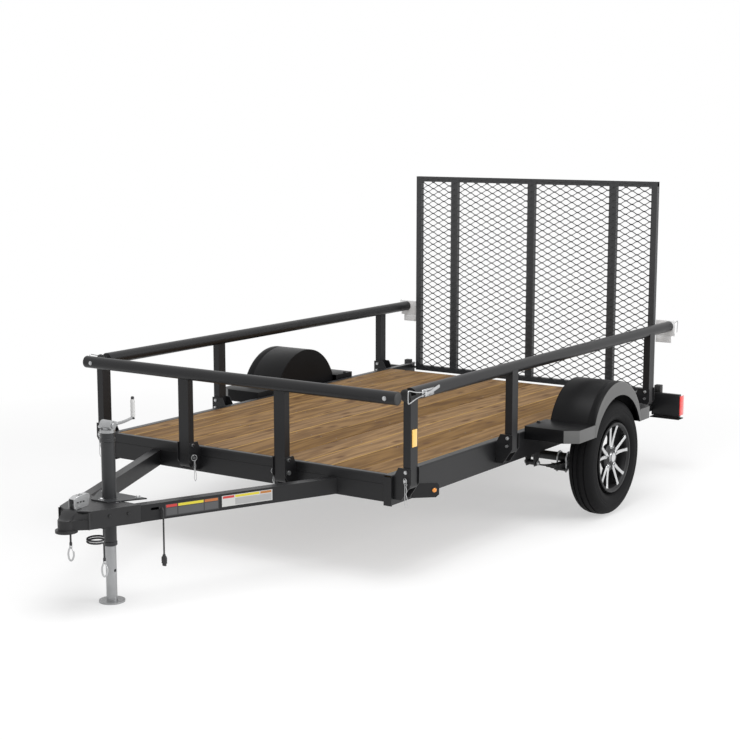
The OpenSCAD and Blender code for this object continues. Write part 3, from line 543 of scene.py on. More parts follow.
def hood():
    """The pressed hood that rises from the nose to the cover and closes the fronts of the arms."""
    base, dome, cover = arm_z[0] + 0.042, arm_z[1] - 0.034, arm_z[1] + 0.005
    # (distance back, half width, height at the sides, height along the middle)
    rows = [(0.022, 0.020, dome - 0.003, dome + 0.0010), (0.032, 0.031, dome - 0.001, dome + 0.0020),
            (0.042, 0.038, dome, dome + 0.0035), (0.052, 0.041, dome + 0.001, dome + 0.0130),
            (0.062, 0.044, dome + 0.002, dome + 0.0225), (0.072, 0.049, dome + 0.005, dome + 0.0320),
            (0.083, 0.058, dome + 0.010, cover + 0.0006), (0.094, 0.071, dome + 0.018, cover + 0.0008),
            (0.104, 0.085, dome + 0.027, cover + 0.0008), (0.112, 0.0955, cover - 0.003, cover + 0.0010),
            (0.120, 0.0990, cover - 0.002, cover + 0.0010)]
    verts = []
    for back, wide, low, high in rows:
        top = min(wide - 0.008, 0.038)
        half = [(wide, base), (wide, max(low - 0.006, base)), (wide - 0.005, low),
                (top, high - 0.0015), (top - 0.004, high)]
        verts += [(x, nose_y + back, z) for x, z in half + [(-x, z) for x, z in reversed(half)]]
    faces = skin_over(len(rows), 2 * len(half))
    return piece_from("coupler_hood", verts, faces, cast_black, "trailer", smooth=True)


hood()
latch_lo, latch_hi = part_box("coupler_latch")


def latch_lever():
    """A folded channel, tipped up towards the nose, with a row of slots in each cheek drawn as painted shade.
    """
    (x0, y0, z0), (x1, y1, z1) = latch_lo, latch_hi
    wall, proud = 0.0025, 0.0003
    # outline of a cheek as (y, z) from the nose end
    outline = [(y0, z0 + 0.004), (y0 + 0.010, z0), (y1 - 0.012, z0 + 0.004), (y1, z1 - 0.014),
               (y1 - 0.006, z1), (y0 + 0.026, z1 - 0.002), (y0, z1 - 0.012)]
    parts = []
    for k, x in enumerate((x0, x1 - wall)):
        verts = [(x + dx, y, z) for dx in (0, wall) for y, z in outline]
        parts.append(piece_from(f"latch_cheek_{k}", verts, skin_over(2, len(outline)), zinc, "trailer",
                                rounding=0.0008))
    fold = [(y0 + 0.002, z1 - 0.011), (y0 + 0.026, z1 - 0.001), (y1 - 0.006, z1 - 0.0005),
            (y1 - 0.001, z1 - 0.013)]
    verts = [(x, y, z - drop) for y, z in fold for x, drop in ((x0, 0), (x1, 0), (x1, wall), (x0, wall))]
    parts.append(piece_from("latch_back", verts, skin_over(len(fold), 4), zinc, "trailer", smooth=True,
                            rounding=0.0006))
    # the slots are not cut: they are dark lozenges of painted shade on the cheeks and the back
    middle = (z0 + z1) / 2
    corners = ((-1, -1), (1, -1), (1, 1), (-1, 1))
    verts = [(x, y0 + back + 0.0055 * a, middle + 0.003 * b) for x in (x0 - proud, x1 + proud)
             for back in (0.022, 0.040, 0.058) for a, b in corners]
    verts += [((x0 + x1) / 2 + off + 0.003 * a, y0 + back + 0.005 * b, z1 + proud)
              for off in (-0.007, 0.007) for back in (0.040, 0.056) for a, b in corners]
    faces = [tuple(range(k, k + 4)) for k in range(0, len(verts), 4)]
    parts.append(piece_from("latch_slot_shade", verts, faces, cast_black, "trailer"))
    return parts


lever = latch_lever()
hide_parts("coupler_latch")
pin_path = [Vector((x, latch_lo[1] + 0.030, latch_lo[2] + 0.010))
            for x in (latch_lo[0] - 0.004, latch_hi[0] + 0.004)]
wire("latch_pin", pin_path, 0.007, zinc, "trailer")

# Jack: a screw jack bolted to a plate on the arms. Its painted tubes hold a bright sliding leg,
# and a bevel gear in the head is turned by a side crank with a pale plastic sleeve.

jack_paint = surface("jack_paint", (0.030, 0.031, 0.033), 0.38, mottle=0.14, scale=20, bump=0.08, gloss=0.35)
jack_zinc = surface("jack_zinc", (0.36, 0.365, 0.37), 0.36, metallic=0.75, mottle=0.2, scale=22, bump=0.06)
crank_sleeve = surface("crank_sleeve", (0.58, 0.58, 0.57), 0.42, mottle=0.06, scale=60, bump=0.1)
keep_part("jack_tube", jack_paint)
keep_part("jack_head", jack_zinc)
keep_part("jack_leg", jack_zinc)
tube_lo, tube_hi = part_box("jack_tube")
jack_y = (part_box("jack_leg")[0][1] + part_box("jack_leg")[1][1]) / 2
head_top = tube_hi[2]
plate_z = arm_z[1] + 0.011
hex_bolts("jack_bolts", [((x, jack_y + y, plate_z), (0, 0, 1))
                         for x, y in ((0, -0.050), (-0.105, 0.076), (0.105, 0.076))], 0.021, zinc, "trailer")
for name, inner, outer, low, high in (("jack_collar", 0.0318, 0.0345, head_top - 0.042, head_top - 0.024),
                                      ("jack_guide", 0.0288, 0.0312, tube_lo[2] + 0.001, tube_lo[2] + 0.020)):
    band = [(inner, low), (outer, low + 0.002), (outer, high - 0.002), (inner, high)]
    turned(name, band, (0, jack_y, 0), "Z", jack_paint, "trailer", 40, ring=True)
gear_z = head_top + 0.034
turned("jack_gear_cap", [(0.0221, -0.030), (0.0175, -0.033), (0.0, -0.033)], (0, jack_y, gear_z), "X",
       jack_zinc, "trailer", 32)
turned("jack_gear_boss", [(0.0, 0.041), (0.010, 0.041), (0.0125, 0.038), (0.0125, 0.0335)],
       (0, jack_y, gear_z), "X", jack_zinc, "trailer", 24)


def crank():
    """A flat forged arm swept up from the shaft boss, with an upright sleeved handle on its end."""
    lo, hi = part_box("jack_crank")
    shaft_z = head_top + 0.030
    arm_from, arm_to = Vector((0, lo[1] + 0.006, shaft_z)), Vector((0, lo[1] + 0.122, shaft_z + 0.012))
    boss = turned("crank_boss", [(0.0085, lo[1]), (0.0118, lo[1] + 0.002), (0.0118, lo[1] + 0.010),
                                 (0.0095, lo[1] + 0.012), (0, lo[1] + 0.012)], (0, 0, shaft_z), "Y",
                  jack_zinc, "trailer", 24)
    run = (arm_to - arm_from).normalized()
    steps = 12
    section = ((-0.0035, -0.8), (0.0035, -0.8), (0.004, 0), (0.0035, 0.8), (-0.0035, 0.8), (-0.004, 0))
    up = Vector((0, -run.z, run.y))
    verts = []
    for t in [k / steps for k in range(steps + 1)]:
        centre = arm_from.lerp(arm_to, t) - Vector((0, 0, 0.004 * math.sin(math.pi * t)))
        half = 0.0085 - 0.0015 * t
        verts += [centre + up * half * k + Vector((x, 0, 0)) for x, k in section]
    faces = skin_over(steps + 1, len(section))
    arm = piece_from("crank_arm", verts, faces, jack_zinc, "trailer", smooth=True)
    grip_at = Vector((0, arm_to.y, 0))
    base = arm_to.z - 0.008
    rows = [(0, base), (0.0085, base), (0.0085, base + 0.006), (0.0055, base + 0.008),
            (0.0055, hi[2] - 0.012), (0.0078, hi[2] - 0.011), (0.0078, hi[2] - 0.004), (0.0050, hi[2]),
            (0, hi[2])]
    spindle = turned("crank_spindle", rows, grip_at, "Z", jack_paint, "trailer", 24)
    sleeve_low, sleeve_high = base + 0.010, hi[2] - 0.013
    rows = [(0.0088, sleeve_low), (0.0104, sleeve_low + 0.003)]
    rows += [(0.0104 + 0.0005 * math.sin(k * math.pi / 2), sleeve_low + 0.006 + k * 0.005)
             for k in range(14)]                # shallow grip rings
    rows += [(0.0104, sleeve_high - 0.003), (0.0088, sleeve_high)]
    sleeve = turned("crank_sleeve", rows, grip_at, "Z", crank_sleeve, "trailer", 28)
    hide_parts("jack_crank")


crank()

# Axle and springs: a round drop axle under two leaf packs, clamped by plated U-bolts to a tie
# plate, hung from steel cheeks welded under the side channels.

axle_coat = surface("axle_paint", (0.017, 0.017, 0.018), 0.5, mottle=0.3, scale=9, bump=0.18)
keep_part("axle", axle_coat)
keep_part("springs", axle_coat)
tyre_lo, tyre_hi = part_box("tyre_left")
axle_y, axle_z = (tyre_lo[1] + tyre_hi[1]) / 2, (tyre_lo[2] + tyre_hi[2]) / 2
spring_lo, spring_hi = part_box("springs")
spring_x = spring_hi[0] - 0.036
spring_half = (spring_hi[1] - spring_lo[1]) / 2 - 0.034
tube_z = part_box("axle")[0][2] + 0.025
eye_z = axle_z + 0.005
leaf_top = tube_z - 0.025
tie_z = leaf_top - 0.032 - 0.010
SIDES = {1: "left", -1: "right"}


def running_gear_fastenings():
    """U-bolts with their nuts, the eye bolts of the springs and the clips round the leaves."""
    half_pack, half_tie = 0.028, 0.031          # the U-bolts' spacing, across and along the spring
    nuts = [((spring_x + x, axle_y + y, tie_z), (0, 0, -1)) for x in (-half_pack, half_pack)
            for y in (-half_tie, half_tie)]
    eyes = [((spring_x + way * 0.036, axle_y + end * spring_half, eye_z), (way, 0, 0))
            for way in (1, -1) for end in (-1, 1)]
    hex_bolts("u_bolt_nuts", mirrored(nuts), 0.019, zinc, "trailer")
    hex_bolts("spring_eye_bolts", mirrored(eyes), 0.022, zinc, "trailer")
    for side in (-1, 1):
        for end, x in (("in", -half_pack), ("out", half_pack)):
            x = side * (spring_x + x)
            bend = [Vector((x, axle_y + half_tie * math.cos(a), tube_z + half_tie * math.sin(a)))
                    for a in [math.pi * k / 14 for k in range(15)]]
            legs = [Vector((x, bend[0].y, tie_z + 0.002)), *bend, Vector((x, bend[-1].y, tie_z + 0.002))]
            wire(f"u_bolt_{SIDES[side]}_{end}", legs, 0.0106, zinc, "trailer")
        # rebound clips that hold the leaves together
        for end, y in (("front", -0.105), ("rear", 0.105)):
            level = leaf_top + (eye_z - leaf_top) * (y / spring_half) ** 2
            loop = [Vector((side * spring_x + out * 0.0235, axle_y + y, level + rise)) for out, rise in
                    ((-1, 0.003), (-1, -0.027), (1, -0.027), (1, 0.003))]
            wire(f"leaf_clip_{SIDES[side]}_{end}", loop, 0.005, axle_coat, "trailer", closed=True)


running_gear_fastenings()

# Wheels: 14 inch cast aluminium wheels, machined bright on the spokes, painted dark elsewhere, five
# split spokes, plated nuts and a pressed centre cap, on a cast hub turning on the spindle.

alloy_bright = surface("alloy_face", (0.60, 0.605, 0.61), 0.24, metallic=0.85, mottle=0.08, scale=18,
                       grit=500, bump=0.03, soft_edge=0.0012)
alloy_dark = surface("alloy_pocket", (0.012, 0.012, 0.013), 0.45, gloss=0.3, mottle=0.2, scale=30, bump=0.12)
hub_iron = surface("hub_iron", (0.16, 0.16, 0.165), 0.5, metallic=0.5, mottle=0.25, scale=30, bump=0.25)
rim_lo, rim_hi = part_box("rim_left")
rim_r = (rim_hi[2] - rim_lo[2]) / 2
wheel_face = tyre_hi[0]
hub_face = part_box("hub_left")[1][0]
disc_x = wheel_face - 0.054


def spun(side, name, rows, material, body, segments, ring=False):
    """A part turned on the axle's line, from (radius, distance out from the trailer's middle) pairs."""
    return turned(f"{name}_{SIDES[side]}", [(r, side * x) for r, x in rows], (0, axle_y, axle_z), "X",
                  material, body, segments, ring)


def barrel(side, body):
    """The rim: bead seats and drop centre turned as one, with a painted outer flange."""
    inner, outer = rim_lo[0], rim_hi[0]
    rows = [(0.020, inner), (0.003, inner), (0, inner + 0.003), (0, inner + 0.006), (0.017, inner + 0.012),
            (0.018, outer - 0.012), (0, outer - 0.007), (0, outer - 0.003), (0.003, outer), (0.010, outer),
            (0.013, outer - 0.004), (0.019, outer - 0.012), (0.023, outer - 0.018), (0.024, inner + 0.02)]
    lip = [(0.0005, outer - 0.005), (0.002, outer + 0.0008), (0.011, outer + 0.0008), (0.0155, outer - 0.004),
           (0.0225, outer - 0.013), (0.0235, outer - 0.0135), (0.0160, outer - 0.0100)]
    return [spun(side, name, [(rim_r - drop, x) for drop, x in profile], alloy_dark, body, 96, ring=True)
            for name, profile in (("rim_barrel", rows), ("rim_lip", lip))]


def spokes(side, body):
    """Five pairs of tapering spokes from the hub disc out to the rim, dished towards the hub."""
    steps, root, tip = 9, 0.052, rim_r - 0.019
    verts, faces = [], []
    for k in range(5):
        middle = math.tau * k / 5 + math.radians(18)
        for lean in (-1, 1):
            faces += skin_over(steps + 1, 6, first=len(verts))
            for t in [step / steps for step in range(steps + 1)]:
                # the pair starts together at the hub and spreads to the rim
                angle = middle + lean * math.radians(8.5 + 5.0 * t ** 1.1)
                half = 0.0115 - 0.0030 * t + (0.004 * (t - 0.85) / 0.15 if t > 0.85 else 0)
                front = disc_x + 0.024 + 0.015 * t ** 1.6
                back = front - (0.020 - 0.004 * t)
                out = Vector((0, math.cos(angle), math.sin(angle)))
                along = Vector((0, -math.sin(angle), math.cos(angle)))
                centre = Vector((0, axle_y, axle_z)) + out * (root + (tip - root) * t)
                verts += [centre + along * half * w + Vector((side * x, 0, 0)) for x, w in
                          ((back, 1.0), (front - 0.003, 1.0), (front, 0.72), (front, -0.72),
                           (front - 0.003, -1.0), (back, -1.0))]
    arms = piece_from(f"spokes_{SIDES[side]}", verts, faces, alloy_bright, body, smooth=True)
    arms.data.materials.append(alloy_dark)
    for face in arms.data.polygons:
        if abs(face.normal.x) < 0.35 or face.normal.x * side < 0:
            face.material_index = 1
    return arms


def wheel(side, body):
    """One wheel: barrel and lip, spokes, the disc they spring from, the cap and the five nuts."""
    disc = [(0.034, 0), (0.078, 0), (0.080, 0.003), (0.079, 0.016), (0.072, 0.022), (0.066, 0.024),
            (0.050, 0.024), (0.044, 0.026), (0.034, 0.026)]
    cap = [(0.0325, disc_x + 0.012), (0.0335, disc_x + 0.026), (0.0315, disc_x + 0.030),
           (0.0312, hub_face - 0.006), (0.0290, hub_face - 0.001), (0.0200, hub_face + 0.0008),
           (0.0, hub_face + 0.0012)]
    parts = [*barrel(side, body), spokes(side, body),
             spun(side, "wheel_disc", [(r, disc_x + x) for r, x in disc], alloy_dark, body, 64, ring=True),
             spun(side, "centre_cap", cap, alloy_bright, body, 48)]
    nut_circle = 0.057
    nuts = [((side * (disc_x + 0.020), axle_y - nut_circle * s, axle_z + nut_circle * c), (side, 0, 0))
            for c, s in circle(5)]
    hex_bolts(f"wheel_nuts_{SIDES[side]}", nuts, 0.022, zinc, body, washer=False, length=0.006)
    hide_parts(f"rim_{SIDES[side]}")
    keep_part(f"hub_{SIDES[side]}", hub_iron)


for side, name in SIDES.items():
    wheel(side, f"wheel_{name}")

# Tyres: trailer tyres in black rubber, with straight ribs on the tread, small cuts along each
# rib's edge, and raised rings and a fine band of spokes moulded into the sidewalls.

rubber = surface("tyre_rubber", (0.008, 0.008, 0.0085), 0.62, gloss=0.08, mottle=0.25, scale=12,
                 grit=300, bump=0.18, soft_edge=0)
tyre_r = (tyre_hi[2] - tyre_lo[2]) / 2
tyre_w = tyre_hi[0] - tyre_lo[0]


def tyre(side, body):
    """The outer skin as a swept section: beads, sidewalls with rings, round shoulders and ribs."""
    middle = wheel_face - tyre_w / 2
    shoulder = (tyre_r - rim_r - 0.001) * 0.43
    flat = tyre_w / 2 - shoulder
    # (radius, distance from the tyre's middle plane) from the outer bead up to the tread's edge
    half = [(rim_r - 0.016, tyre_w / 2 - 0.026), (rim_r + 0.002, tyre_w / 2 - 0.024)]
    for turn in [math.radians(-70 + 70 * k / 8) for k in range(9)]:
        half.append((rim_r + 0.001 + shoulder + shoulder * math.sin(turn), flat + shoulder * math.cos(turn)))
    raised = ((0.010, 0.0), (0.012, 0.0012), (0.018, 0.0012), (0.020, 0.0))
    half += [(rim_r + shoulder + up, tyre_w / 2 - 0.0014 + lift) for up, lift in raised]
    for turn in [math.radians(58 * k / 9) for k in range(1, 10)]:
        half.append((tyre_r - shoulder + shoulder * math.sin(turn), flat + shoulder * math.cos(turn)))
    edge_r, edge_w = half[-1]

    def tread(share, depth=0.0):
        """A point this share of the way from the tyre's middle plane to the edge of the tread."""
        return tyre_r - (tyre_r - edge_r) * share ** 2.6 - depth, share * edge_w

    groove = 0.007
    rows = half + [tread(0.73), tread(0.70, groove), tread(0.60, groove), tread(0.57), tread(0.17),
                   tread(0.14, groove), tread(0.04, groove)]
    rows += [(r, -w) for r, w in reversed(rows)]
    # sipes: every third slice of the shoulder ribs is let in a little
    slices, sipe = 144, 0.0022
    rib_rows = [*range(len(half) - 2, len(half) + 1),
                *range(len(rows) - len(half) - 1, len(rows) - len(half) + 2)]
    verts = []
    for k, (c, s) in enumerate(circle(slices)):
        for index, (radius, w) in enumerate(rows):
            if k % 3 == 0 and index in rib_rows:
                radius -= sipe
            verts.append((side * (middle + w), axle_y + radius * c, axle_z + radius * s))
    skin = piece_from(f"tyre_skin_{SIDES[side]}", verts, skin_over(slices, len(rows), joined=True), rubber,
                      body, smooth=True)
    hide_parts(f"tyre_{SIDES[side]}")
    valve_at, valve_turn, rim_face = rim_r - 0.032, 0.9, rim_hi[0]
    profile = [(0.0045, rim_face - 0.020), (0.0038, rim_face - 0.002), (0.0030, rim_face), (0, rim_face)]
    valve = turned(f"valve_{SIDES[side]}", [(r, side * x) for r, x in profile],
                   (0, axle_y + valve_at * math.cos(valve_turn), axle_z + valve_at * math.sin(valve_turn)),
                   "X", rubber, body, 12)


for side, name in SIDES.items():
    tyre(side, f"wheel_{name}")

# Fenders: 3 mm steel, one arched cover with a crescent welded to its outer edge, an inner wall
# and a folded step pad at each end, painted satin black. The outer faces are a lighter grey, a painted
# highlight.

fender_coat = surface("fender_paint", (0.005, 0.005, 0.0055), 0.40, mottle=0.2, scale=6, bump=0.09,
                      gloss=0.12)
fender_painted_highlight = surface("fender_painted_highlight", (0.105, 0.105, 0.104), 0.50, gloss=0.3, mottle=0.05, scale=5, bump=0.06)
fender_lo, fender_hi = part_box("fender_left")
fender_x, fender_in = fender_hi[0], half_width + 0.030
pad_bottom, pad_top = fender_lo[2], deck_top + 0.029
arch_half = math.sqrt(tyre_r ** 2 - (pad_bottom - axle_z) ** 2) + 0.022
arch_rise = fender_hi[2] - pad_bottom


def arc(half, rise, steps):
    """(y, z) points of the arc that stands on the fender's bottom line with this width and rise."""
    radius = (half ** 2 + rise ** 2) / (2 * rise)
    centre = pad_bottom + rise - radius
    reach = math.acos(max(-1, min(1, (pad_bottom - centre) / radius)))
    return [(axle_y + radius * math.sin(a), centre + radius * math.cos(a))
            for a in [-reach + 2 * reach * k / steps for k in range(steps + 1)]]


def fender(side, name):
    """The arched cover with its welded crescent, the inner wall under it and the two step pads."""
    steps = 56
    arch, lip = arc(arch_half, arch_rise, steps), arc(arch_half - 0.025, arch_rise - 0.076, steps)

    def inward(point, depth):
        """The point let in by this depth towards the wheel, but never below the pads."""
        toward = Vector((axle_y - point[0], pad_bottom + 0.1 - point[1])).normalized()
        return point[0] + toward.x * depth, max(point[1] + toward.y * depth, pad_bottom)

    # (distance in from the outer face, curve, depth below it) over the cover, down the crescent
    # and back on the underside
    wide = fender_x - fender_in
    across = [(wide, arch, 0.0), (0.062, arch, 0.0), (0.056, arch, 0.0030), (0.050, arch, 0.0030),
              (0.044, arch, 0.0), (0.016, arch, 0.0), (0.007, arch, 0.0022), (0.0018, arch, 0.0070),
              (0, arch, 0.0140), (0, lip, 0.0), (0.012, lip, -0.0005), (0.012, lip, -0.003),
              (0.003, lip, -0.004), (0.004, arch, 0.014), (0.020, arch, 0.0035), (wide - 0.003, arch, 0.0035)]
    verts = [(side * (fender_x - x), *inward(curve[k], depth))
             for k in range(steps + 1) for x, curve, depth in across]
    cover = piece_from(f"fender_cover_{name}", verts, skin_over(steps + 1, len(across)), fender_coat,
                       "trailer", smooth=True)
    # faces that look outward take the lighter grey: a painted highlight
    cover.data.materials.append(fender_painted_highlight)
    for face in cover.data.polygons:
        if face.normal.x * side > 0.5:
            face.material_index = 1
    wall = [(side * x, *point) for x in (fender_in, fender_in + 0.003) for point in arch]
    inner = piece_from(f"fender_wall_{name}", wall, skin_over(2, len(arch)), fender_coat, "trailer")
    pads = [step_pad(side, name, "front", -1, axle_y - arch_half, fender_lo[1]),
            step_pad(side, name, "rear", 1, axle_y + arch_half, fender_hi[1])]
    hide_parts(f"fender_{name}")


def step_pad(side, name, end, way, foot, tip):
    """A folded pad: flat top with soft edges, skirts all round and a cut outer corner."""
    x0, x1, skin = half_width, fender_x - 0.002, 0.003
    near, cut = foot - way * 0.018, 0.070
    plan = [(x0, near), (x1, near), (x1, tip - way * 0.052), (x1 - cut, tip), (x0, tip)]
    inside = [(x0 + skin, near), (x1 - skin, near), (x1 - skin, tip - way * 0.053),
              (x1 - cut - 0.001, tip - way * skin), (x0 + skin, tip - way * skin)]
    verts = [(side * x, y, z) for outline, z in ((plan, pad_top), (plan, pad_bottom), (inside, pad_bottom),
                                                 (inside, pad_top - skin)) for x, y in outline]
    pad = piece_from(f"step_pad_{end}_{name}", verts, skin_over(4, len(plan)), fender_coat, "trailer",
                     smooth=True, rounding=0.0012)
    # skirts that look outward take the lighter grey: a painted highlight
    pad.data.materials.append(fender_painted_highlight)
    for face in pad.data.polygons:
        if face.normal.x * side > 0.5 and face.center.z < pad_top - 0.004:
            face.material_index = 1
    return pad


for side, name in SIDES.items():
    fender(side, name)
fender_bolts = [((half_width + 0.012, axle_y + end * (arch_half + 0.09), pad_top), (0, 0, 1))
                for end in (-1, 1)]
hex_bolts("fender_bolts", mirrored(fender_bolts), 0.018, black_coat, "trailer")

# Rails: round tube rails on square posts, black powder coat, with a plastic plug in each open
# end. Every post stands in a pair of steel ears, held by a pin and a lock bolt; the pins of the corner posts
# and of the front rail's posts carry a hairpin.

for node in ("rail_left", "rail_right", "front_rail", "post_brackets"):
    keep_part(node, black_coat)
keep_part("rail_pins", zinc)
plug_black = surface("end_plug", (0.016, 0.016, 0.016), 0.55, mottle=0.2, scale=50, bump=0.15)
rail_lo, rail_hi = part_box("rail_left")
front_lo, front_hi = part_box("front_rail")
rail_r = 0.03175
rail_z = rail_hi[2] - rail_r
rail_x = half_width + 0.060
post_x = half_width + 0.050 + 0.041 / 2
front_y = front_lo[1] + rail_r
bed_front = side_lo[1] + 0.006
bed_rear = side_hi[1]
post_rows = [bed_front + 0.020, bed_front + 0.986, bed_rear - 0.345]
POST_L, EAR = 0.061, 0.007                      # post length along the trailer, ear and its gap


def end_plugs():
    """A domed plastic plug in each open end of the three rails."""
    profile = [(0.0, 0.0032), (0.018, 0.0030), (0.027, 0.0018), (0.0300, 0.0), (0.0300, -0.004)]

    def fit(name, way, end, at, axis, body):
        rows = [(r, end + way * d) for r, d in profile]
        turned(name, rows, at, axis, plug_black, body, 40)

    for side, name in SIDES.items():
        for way, place, y in ((-1, "front", rail_lo[1]), (1, "rear", rail_hi[1])):
            fit(f"rail_{name}_plug_{place}", way, y, (side * rail_x, 0, rail_z), "Y", f"rail_{name}")
    for way, x in ((-1, front_lo[0]), (1, front_hi[0])):
        fit(f"front_rail_plug_{SIDES[way]}", way, x, (0, front_y, rail_z), "X", "front_rail")


end_plugs()


def hairpin(name, at, along, drop):
    """A spring wire hairpin through a pin's end, and the split ring that ties it on."""
    along, drop = Vector(along), Vector(drop)
    side = along.cross(drop)
    # (drop, sideways) down the straight leg, round the loop and back up the wavy one
    shape = [(0.010, 0.0), (0.085, 0.0), (0.112, 0.001), (0.122, 0.007), (0.112, 0.014), (0.085, 0.013),
             (0.060, 0.006), (0.045, 0.011), (0.025, 0.006), (0.012, 0.012)]
    pin = wire(name, smooth_path([at + drop * d + side * s for d, s in shape], 3), 0.0034, zinc, "trailer")
    tilt = side * 0.85 + along * 0.5
    ring = wire(f"{name}_ring", [at + 0.015 * (c * drop + s * tilt) for c, s in circle(24)], 0.0030, zinc,
                "trailer", closed=True)


def post_fastenings():
    """Hairpins on the pins that fold, lock bolts through the ears and the brackets' own bolts."""
    pin_z, bolt_z = deck_top - 0.019, deck_top + 0.022
    heads, tails = [], []
    for y in post_rows:
        heads += [((post_x, y - EAR - 0.007, bolt_z), (0, -1, 0)),
                  ((post_x, y + POST_L + EAR + 0.007, bolt_z), (0, 1, 0))]
        tails += [((half_width + 0.005, y + POST_L / 2, side_lo[2] + up), (1, 0, 0)) for up in (0.045, 0.105)]
    for side in (-1, 1):                        # only the corner posts' pins carry one
        hairpin(f"hairpin_{SIDES[side]}", Vector((side * post_x, post_rows[0] - EAR - 0.010, pin_z)),
                (0, -1, 0), (0, 0, -1))
    hex_bolts("side_lock_bolts", mirrored(heads), 0.015, zinc, "trailer", washer=False)
    hex_bolts("side_bracket_bolts", mirrored(tails), 0.018, black_coat, "trailer")
    front_pin_z, front_bolt_z = deck_top - 0.048, deck_top + 0.016
    front_post_y, reach = bed_front - 0.060, 0.033 + EAR
    bolts = []
    for side in (-1, 1):
        x = side * 0.308
        bolts += [((x + way * (reach + 0.007), front_post_y, front_bolt_z), (way, 0, 0)) for way in (-1, 1)]
        # the pins point towards the middle
        hairpin(f"hairpin_front_{SIDES[side]}",
                Vector((x - side * (reach + 0.010), front_post_y, front_pin_z)), (-side, 0, 0), (0, 0, -1))
    hex_bolts("front_lock_bolts", bolts, 0.015, black_coat, "trailer", washer=False)
    # bright bolts that hold the rail tube to its posts
    tube_bolts = [((x, front_lo[1] + 0.0005, rail_z), (0, -1, 0))
                  for x in (front_lo[0] + 0.055, front_hi[0] - 0.055)]
    hex_bolts("front_rail_bolts", tube_bolts, 0.016, zinc, "front_rail")


post_fastenings()

# Draw latches: plated toggle latches. The front ones tie each side rail to the front rail with a
# wire bail over an eye bolt; the rear ones clamp a bracket that keeps the gate upright.


def box_part(name, low, high, material, body, rounding=0.0012):
    """A pressed or cut block between two corners, its edges broken."""
    (x0, y0, z0), (x1, y1, z1) = low, high
    verts = [(x, y, z) for x in (x0, x1) for y, z in ((y0, z0), (y1, z0), (y1, z1), (y0, z1))]
    return piece_from(name, verts, skin_over(2, 4), material, body, smooth=True, rounding=rounding)


def front_latch(side, name, body):
    """Base, cheeks, lever lying back along the rail, pivot, and the bail that reaches forward."""
    x, y = rail_x + rail_r, rail_lo[1]
    base = box_part(f"latch_base_{name}", (side * x, y + 0.092, rail_z - 0.017),
                    (side * (x + 0.003), y + 0.198, rail_z + 0.017), zinc, body)
    cheeks = [box_part(f"latch_cheek_{name}_{k}", (side * (x + 0.003), y + 0.100, z - 0.0012),
                       (side * (x + 0.015), y + 0.172, z + 0.0012), zinc, body, 0.0005)
              for k, z in enumerate((rail_z - 0.013, rail_z + 0.013))]
    # the lever is a channel, tipped up a little
    verts, steps = [], 10
    for t in [k / steps for k in range(steps + 1)]:
        level = rail_z - 0.004 + 0.020 * t ** 1.5
        half, out = 0.0095 - 0.002 * t, x + 0.013 - 0.003 * t
        verts += [(side * face, y + 0.106 + 0.132 * t, level + half * k) for face, k in
                  ((out - 0.006, -1), (out, -0.8), (out, 0.8), (out - 0.006, 1))]
    handle = piece_from(f"latch_lever_{name}", verts, skin_over(steps + 1, 4), zinc, body, smooth=True,
                        rounding=0.0006)
    # (distance back from the rail's end, height) of the upper half of the bail, mirrored below
    half = [(0.118, 0.004), (0.030, 0.015), (-0.030, 0.030), (-0.040, 0.020)]
    loop = [Vector((side * (x + 0.010), y + back, rail_z + up))
            for back, up in half + [(back, -up) for back, up in reversed(half)]]
    bail = wire(f"latch_bail_{name}", smooth_path(loop, 3), 0.005, zinc, body)
    pin = wire(f"latch_pivot_{name}", [Vector((side * (x + 0.010), y + 0.116, rail_z + z))
                                       for z in (-0.016, 0.016)], 0.006, zinc, body)
    screws = [((side * (x + 0.003), y + back, rail_z), (side, 0, 0)) for back in (0.098, 0.192)]
    hex_bolts(f"latch_screws_{name}", screws, 0.010, zinc, body, washer=False)
    return base


pale_plate = surface("pale_zinc", (0.72, 0.72, 0.72), 0.60, metallic=0.1, mottle=0.08, scale=24, bump=0.04)


def rear_latch(side, name, body):
    """A bright plate with a tab behind the gate's corner, and a small latch, wire and lever on it."""
    gate_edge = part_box("gate_frame")[1][0]
    if gate_edge > half_width:                   # the hinge pins reach out past the channels
        gate_edge = half_width - 0.032
    x0, y = gate_edge + 0.007, rail_hi[1]
    blocks = [("gate_plate", (x0, 0.0004, -0.060), (half_width + 0.103, 0.0050, 0.036), pale_plate, 0.0012),
              ("gate_tab", (x0, 0.0004, -0.104), (half_width + 0.080, 0.0040, -0.060), pale_plate, 0.001),
              ("gate_latch", (rail_x + 0.006, 0.005, -0.016), (rail_x + 0.034, 0.022, 0.016), zinc, 0.0015)]
    parts = [box_part(f"{part}_{name}", (side * xa, y + ya, rail_z + za),
                      (side * xb, y + yb, rail_z + zb), finish, body, rounding)
             for part, (xa, ya, za), (xb, yb, zb), finish, rounding in blocks]
    bend = [Vector((side * (rail_x + 0.020 + dx), y + 0.012, rail_z + dz)) for dx, dz in
            ((0.0, 0.012), (0.030, 0.034), (0.036, 0.034), (0.034, 0.0), (0.032, -0.036))]
    parts.append(wire(f"gate_latch_wire_{name}", smooth_path(bend, 4), 0.0045, zinc, body))
    grip_from = Vector((side * (x0 + 0.006), y + 0.0115, rail_z + 0.004))
    grip_to = Vector((side * (rail_x + 0.026), y + 0.0115, rail_z + 0.030))
    grip = [grip_from, grip_from.lerp(grip_to, 0.5) + Vector((0, 0.001, 0.003)), grip_to]
    parts.append(wire(f"gate_latch_lever_{name}", grip, 0.012, plug_black, body))
    bolts = [((side * (x0 + 0.022), y + 0.004, rail_z + dz), (0, 1, 0)) for dz in (-0.086, -0.044)]
    hex_bolts(f"gate_latch_bolts_{name}", bolts, 0.014, zinc, body)


for side, name in SIDES.items():
    latch = front_latch(side, name, f"rail_{name}")
    rear_latch(side, name, f"rail_{name}")
    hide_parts(f"latches_{name}")

